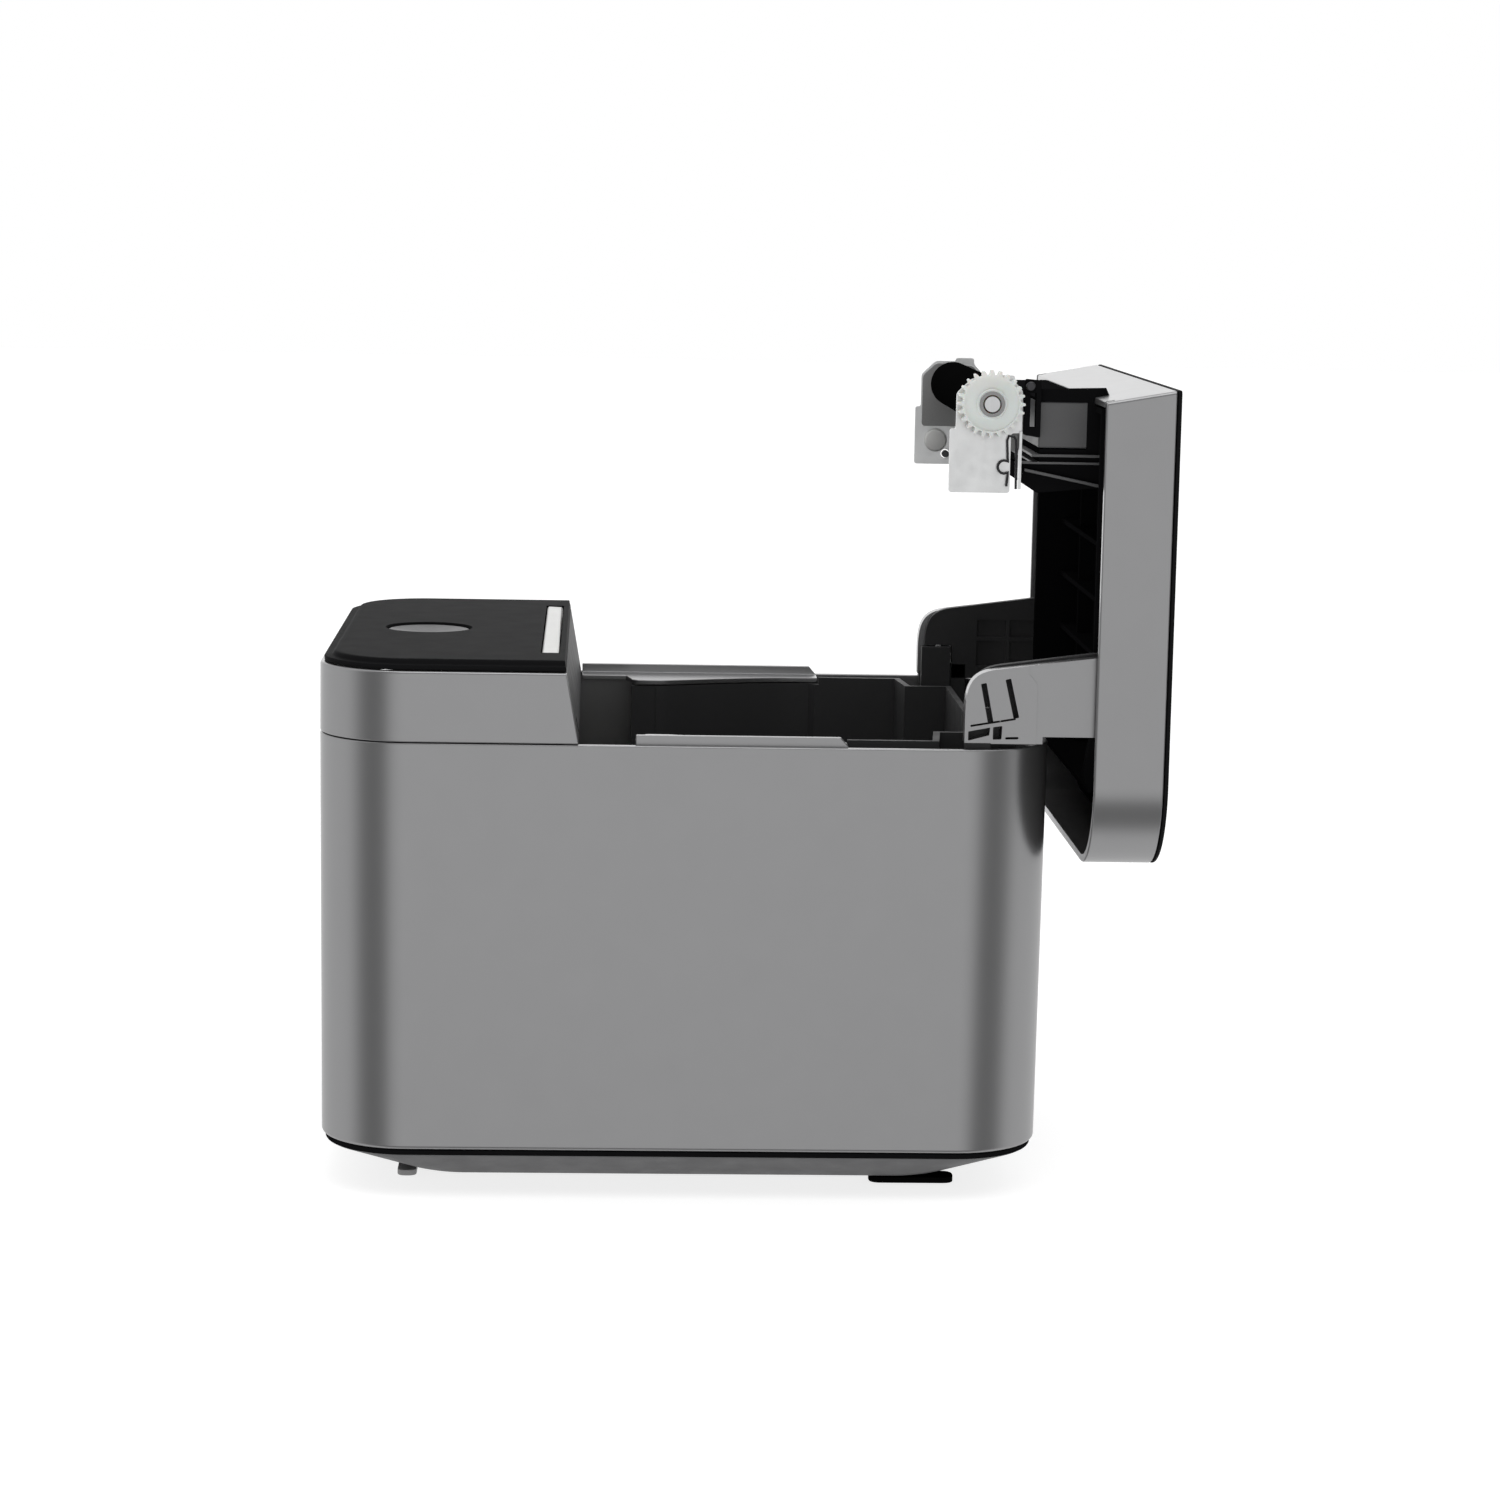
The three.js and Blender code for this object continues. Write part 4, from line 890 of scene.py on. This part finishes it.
def gear_outline(teeth, root, tip):
    """Teeth with curved flanks; a tooth's middle points down with the lid open."""
    points = []
    pitch = 2 * math.pi / teeth
    flank = [(0.0, 0.30), (0.25, 0.26), (0.6, 0.19), (0.9, 0.13), (1.0, 0.09)]
    for k in range(teeth):
        middle = -math.pi / 2 + k * pitch
        for height, share in flank:
            points.append((root + (tip - root) * height, middle - share * pitch))
        for height, share in reversed(flank):
            points.append((root + (tip - root) * height, middle + share * pitch))
    return [(PLATEN_Y + r * math.cos(a), PLATEN_Z + r * math.sin(a)) for r, a in points]


def make_gear():
    x0, x1 = GEAR[0], GEAR[1]
    tip = (GEAR[5] - GEAR[4]) / 2
    face = x1 - 0.6
    hub_radius = 4.6
    wheel = prism("x", gear_outline(GEAR_TEETH, tip - 1.5, tip), x0, face)
    hub = on_platen(hub_radius, x0, x1, 64, 0.3)
    bore = on_platen(2.8, x0 - 2, x1 + 2)
    disc = on_platen(8.3, face - 0.7, face + 2, 96)
    core = on_platen(hub_radius, face - 3, face + 5, 64)
    recess = shape_of(sculpt("ring", [disc], [core]))
    stand_in("platen_gear", "nylon", [wheel, hub], [bore, recess], width=0.12, segments=2, angle=40)
    clip = on_platen(3.9, x1 + 0.05, x1 + 0.6, 48, 0.15)
    extra("platen_clip", "platen", "steel", [clip], [bore], width=0.08, look="mid_gray")


def make_roller():
    r, end, bore = 7.4, 56.0, 2.8
    profile = [(bore, -end), (r - 0.5, -end), (r, -end + 0.5)]
    profile += [(r, end - 0.5), (r - 0.5, end), (bore, end)]
    shadow_sleeve = lathe("x", profile, PLATEN_Y, PLATEN_Z, 96)
    stand_in("platen_roller", "rubber", [shadow_sleeve], [on_platen(bore, -60, 60)], width=0.0)


def make_plates():
    outline = [
        (191.4, 216.3), (210.1, 216.3), (210.1, 234.6), (213.4, 234.6), (213.4, 247.6),
        (210.9, 250.2), (210.9, 252.2), (204.9, 252.2), (204.6, 251.1), (197.9, 251.1),
        (193.2, 246.6), (193.2, 235.7), (191.4, 235.7),
    ]
    plate = prism("x", rounded(outline, 1.0), PLATE_X0, PLATE_X1)
    flange = block(PLATE_X0, PLATE_X1 + 1.2, 212.6, 213.4, 217.6, 235.2)
    bore = on_platen(4.8, 50, 70)
    pin_hole = rod("x", 1.5, 50, 70, PIN_Y, PIN_Z)
    # A thin mid-gray sheet on the inner face of each plate, over its upper part: painted shade, darkening that
    # part of the bright steel.
    shade_patch_edge = [
        (193.6, 229.2), (212.6, 229.2), (212.6, 247.2), (210.4, 249.6), (198.1, 250.4), (193.6, 246.2),
    ]
    shade_patch = prism("x", rounded(shade_patch_edge, 1.2), PLATE_X0 - 1.0, PLATE_X0 - 0.1)
    dished = [(1.2, 59.0), (3.3, 59.6), (3.8, 60.4), (3.8, PLATE_X0 - 0.05)]
    disc = lathe("x", dished, 198.4, 224.4, 48)
    for side in ("right", "left"):
        node = f"platen_plate_{side}"
        body = BODY_OF[node]
        holes = [bore, pin_hole] if side == "left" else [bore]
        shapes, holes = on_side(side, [plate, flange]), on_side(side, holes)
        stand_in(node, "steel", shapes, holes, width=0.2, look="plate_steel")
        # Painted shade: the mid-gray sheet on this plate's upper inner face.
        shapes, hole = on_side(side, [shade_patch]), on_side(side, [bore])
        extra(f"bearing_carrier_{side}", body, "inner_black", shapes, hole, look="mid_gray")
        extra(f"damper_disc_{side}", body, "nylon", on_side(side, [disc]), width=0.1, look="bar_white")
    pin = rod("x", 1.2, 58.6, PLATE_X0 + 0.4, PIN_Y, PIN_Z, 24, 0.2)
    extra("plate_pin_left", body, "steel", [mirrored(pin)], width=0.0, look="dark_screw")


def tube(name, body, slot, points, radius, look=None, replaces=()):
    """A round wire through points, as a mesh."""
    data = bpy.data.curves.new(name, "CURVE")
    data.dimensions = "3D"
    data.bevel_depth = radius * MM
    data.bevel_resolution = 3
    data.use_fill_caps = True
    spline = data.splines.new("POLY")
    spline.points.add(len(points) - 1)
    for point, place in zip(spline.points, points):
        point.co = (*to_frame(place), 1.0)
    wire = bpy.data.objects.new(name, data)
    SCENE.collection.objects.link(wire)
    graph = bpy.context.evaluated_depsgraph_get()
    mesh = bpy.data.meshes.new_from_object(wire.evaluated_get(graph))
    bpy.data.objects.remove(wire)
    piece = bpy.data.objects.new(name, mesh)
    SCENE.collection.objects.link(piece)
    return finish_piece(piece, slot, body, replaces, 0.0, look=look)


def make_clip_springs():
    """A wire spring on the outer face of each plate."""
    x = PLATE_X1 + 0.7
    path = [(211.9, 217.6), (211.8, 226.0), (211.6, 232.6), (211.0, 233.6)]
    path += [(209.4, 233.8), (208.9, 232.4), (209.2, 227.0)]
    path += arc(208.2, 224.3, 2.0, 50, 310, 12)
    path += [(209.3, 221.6), (209.0, 218.4)]
    for side, place in (("right", x), ("left", -x)):
        route = [(place, y, z) for y, z in path]
        tube(f"clip_spring_{side}", "lid", "steel", route, 0.38, "dark_screw")


def make_head_springs():
    """Two coils behind the print head."""
    turns, radius, wire = 5, 3.0, 0.4
    steps = turns * 20
    for side in ("left", "right"):
        node = f"head_spring_{side}"
        x0, x1, y0, y1, z0, z1 = local_box(node)
        x, z = (x0 + x1) / 2, (z0 + z1) / 2
        coil = []
        for step in range(steps + 1):
            angle = math.radians(step * 18)
            y = y0 + wire + (y1 - y0 - 2 * wire) * step / steps
            coil.append((x + radius * math.cos(angle), y, z + radius * math.sin(angle)))
        piece = tube(f"head_coil_{side}", "base", "steel", coil, wire, replaces=(node,))
        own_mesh(piece)


def make_platen_frame():
    half = 62.0
    wide = PLATE_X1
    back = 251.4
    face = block(-half, half, 218.6, back, 230.2, 244.4)
    stand_in("platen_frame", "inner_black", [face], width=0.6, angle=40, look="housing_black")
    hollow = block(-half + 2.5, half - 2.5, 210, 216.8, 200, 260)
    under = [(214.0, 224.4), (214.0, 219.4), (218.6, 216.4), (back, 219.4), (back, 225.6), (214.0, 225.6)]
    shapes = [block(-half, half, 219.0, back - 0.2, 225.6, 229.9), prism("x", under, -61.4, 61.4)]
    extra("frame_underside", "lid", "inner_black", shapes, [hollow], width=0.3, look="liner_black")
    ridges = [
        block(-wide, wide, 216.6, back, 227.5, 228.3),
        block(-wide, wide, 213.7, back, 225.3, 226.0),
        prism("x", [(214.6, 223.9), (214.6, 223.0), (238.0, 218.3), (238.0, 219.2)], -wide, wide),
    ]
    for index, ridge in enumerate(ridges):
        extra(f"frame_ridge_{index}", "lid", "inner_black", [ridge], [hollow], look="housing_black")
    # Black over the rear of the housing face, where the face darkens toward the lid: painted shadow. With it go a
    # thin strip along the face's top and a brace.
    edge = half + 0.2
    brace = [(218.8, 244.6), (218.8, 248.2), (239.0, 248.8), (241.0, 244.6)]
    shadow_sleeve = [
        block(-half - 0.4, half + 0.4, 233.4, 251.5, 229.8, 245.3),
        block(-edge, edge, 218.4, 234, 244.3, 245.2),
        prism("x", brace, 60.6, edge),
    ]
    extra("frame_shadow_sleeve", "lid", "inner_black", shadow_sleeve, width=0.15, look="liner_black")


def make_latch():
    """The bracket behind the right platen plate, with its window and screw."""
    bracket = [(213.9, 234.2), (218.9, 233.4), (218.9, 250.8), (214.3, 251.2), (213.9, 248.0)]
    shape = prism("x", rounded(bracket, 0.5), 60.6, 64.2)
    window = block(55, 70, 215.6, 217.4, 236.6, 247.0)
    extra("latch_bracket", "lid", "inner_black", [shape], [window], width=0.2, look="liner_black")
    screw = lathe("x", [(1.5, 64.0), (1.5, 64.9), (1.1, 65.3)], 215.6, 249.0, 24)
    extra("latch_screw", "lid", "steel", [screw], width=0.0, look="dark_screw")


# ---- rear ports ----
def make_port_bezel():
    x0, x1, _, y1, z0, z1 = local_box("port_panel")
    outer = prism("y", rounded(rectangle(x0, x1, z0, z1, 1.4), 0.8), y1, y1 + 0.25)
    opening = prism("y", rounded(rectangle(x0, x1, z0, z1, 2.2), 0.8), y1 - 1, y1 + 1)
    extra("port_bezel", "base", "inner_black", [outer], [opening], width=0.05)


# ---- camera, floor and light ----
# Solved from the photograph together with the box; the angles are radians.
CAMERA_PLACE = Vector((1183.65, 83.18, 302.24))
CAMERA_YAW = 0.0436125
CAMERA_PITCH = 0.1473585
CAMERA_ROLL = 0.019055
CAMERA_LENS = 88.19
FLOOR_HALF = 6.0  # metres, like the area light's places below
STUDIO_TONES = [(0, 1.0), (19, 1.0), (36, 0.2), (54, 0.2), (84, 0.9), (150, 0.85), (166, 1.5), (180, 1.6)]


def make_camera():
    data = bpy.data.cameras.new("camera")
    data.lens = CAMERA_LENS
    data.sensor_width = 36
    camera = bpy.data.objects.new("camera", data)
    SCENE.collection.objects.link(camera)
    cp, sp = math.cos(CAMERA_PITCH), math.sin(CAMERA_PITCH)
    forward = Vector((-cp * math.cos(CAMERA_YAW), cp * math.sin(CAMERA_YAW), -sp))
    right = forward.cross(Vector((0, 0, 1))).normalized()
    up = right.cross(forward)
    c, s = math.cos(CAMERA_ROLL), math.sin(CAMERA_ROLL)
    across, upright = right * c + up * s, up * c - right * s
    turn = Matrix((across, upright, -forward)).transposed().to_4x4()
    camera.matrix_world = Matrix.Translation(to_frame(CAMERA_PLACE)) @ turn
    data.clip_start = 0.01
    data.clip_end = 50
    SCENE.camera = camera


def make_floor():
    corners = rectangle(-FLOOR_HALF, FLOOR_HALF, -FLOOR_HALF, FLOOR_HALF)
    mesh = bpy.data.meshes.new("floor")
    mesh.from_pydata([(x, y, 0) for x, y in corners], [], [(0, 1, 2, 3)])
    floor = bpy.data.objects.new("floor", mesh)
    SCENE.collection.objects.link(floor)
    n = Nodes("floor_white")
    n.link(n.blend(n.noise(400), (0.4, 0.4, 0.4, 1), (0.44, 0.44, 0.44, 1)), n.shader.inputs["Base Color"])
    n.shader.inputs["Roughness"].default_value = 0.9
    n.shader.inputs["Emission Color"].default_value = (1, 1, 1, 1)
    n.shader.inputs["Emission Strength"].default_value = 0.78
    mesh.materials.append(n.material)
    floor.visible_glossy = False


def make_world():
    """White to the camera; to the object, a studio whose tone depends on the angle from +X.

    STUDIO_TONES gives (degrees, level): a dark ring about +X and a bright glow toward -X.
    """
    world = bpy.data.worlds.new("studio")
    SCENE.world = world
    world.use_nodes = True
    tree = world.node_tree
    tree.nodes.clear()
    new, link = tree.nodes.new, tree.links.new
    direction = new("ShaderNodeTexCoord").outputs["Generated"]
    split = new("ShaderNodeSeparateXYZ")
    link(direction, split.inputs["Vector"])
    angle = new("ShaderNodeMath")
    angle.operation = "ARCCOSINE"
    link(split.outputs["X"], angle.inputs[0])
    share = new("ShaderNodeMath")
    share.operation = "DIVIDE"
    share.inputs[1].default_value = math.pi
    link(angle.outputs[0], share.inputs[0])
    ramp = new("ShaderNodeValToRGB")
    ramp.color_ramp.interpolation = "EASE"
    elements = ramp.color_ramp.elements
    elements[0].position = STUDIO_TONES[0][0] / 180
    elements[1].position = STUDIO_TONES[-1][0] / 180
    for degrees, _ in STUDIO_TONES[1:-1]:
        elements.new(degrees / 180)
    for element, (_, level) in zip(elements, STUDIO_TONES):
        element.color = (level, level, level, 1)
    link(share.outputs[0], ramp.inputs["Fac"])
    studio, white = new("ShaderNodeBackground"), new("ShaderNodeBackground")
    link(ramp.outputs["Color"], studio.inputs["Color"])
    studio.inputs["Strength"].default_value = 1.0
    white.inputs["Color"].default_value = (1, 1, 1, 1)
    mix = new("ShaderNodeMixShader")
    link(new("ShaderNodeLightPath").outputs["Is Camera Ray"], mix.inputs["Fac"])
    link(studio.outputs[0], mix.inputs[1])
    link(white.outputs[0], mix.inputs[2])
    link(mix.outputs[0], new("ShaderNodeOutputWorld").inputs["Surface"])


def area_light(name, place, target, size, power):
    data = bpy.data.lights.new(name, "AREA")
    data.shape = "SQUARE"
    data.size = size
    data.energy = power
    light = bpy.data.objects.new(name, data)
    SCENE.collection.objects.link(light)
    light.location = place
    light.rotation_mode = "QUATERNION"
    light.rotation_quaternion = (Vector(target) - Vector(place)).to_track_quat("-Z", "Y")


def make_light():
    """A soft overhead fill, and colours shown as they are."""
    area_light("overhead", (0.3, 0.1, 1.5), (0, 0, 0.1), 1.2, 6)
    SCENE.view_settings.view_transform = "Standard"
    SCENE.view_settings.look = "None"


make_base()
make_feet()
make_shell()
make_front_cover()
make_top_panel()
make_tear_bar()
make_button()
make_tub()
make_decks()
make_lid()
make_arms()
make_gear()
make_roller()
make_plates()
make_clip_springs()
make_head_springs()
make_platen_frame()
make_latch()
make_port_bezel()
dress_kept_nodes()
make_camera()
make_floor()
make_world()
make_light()
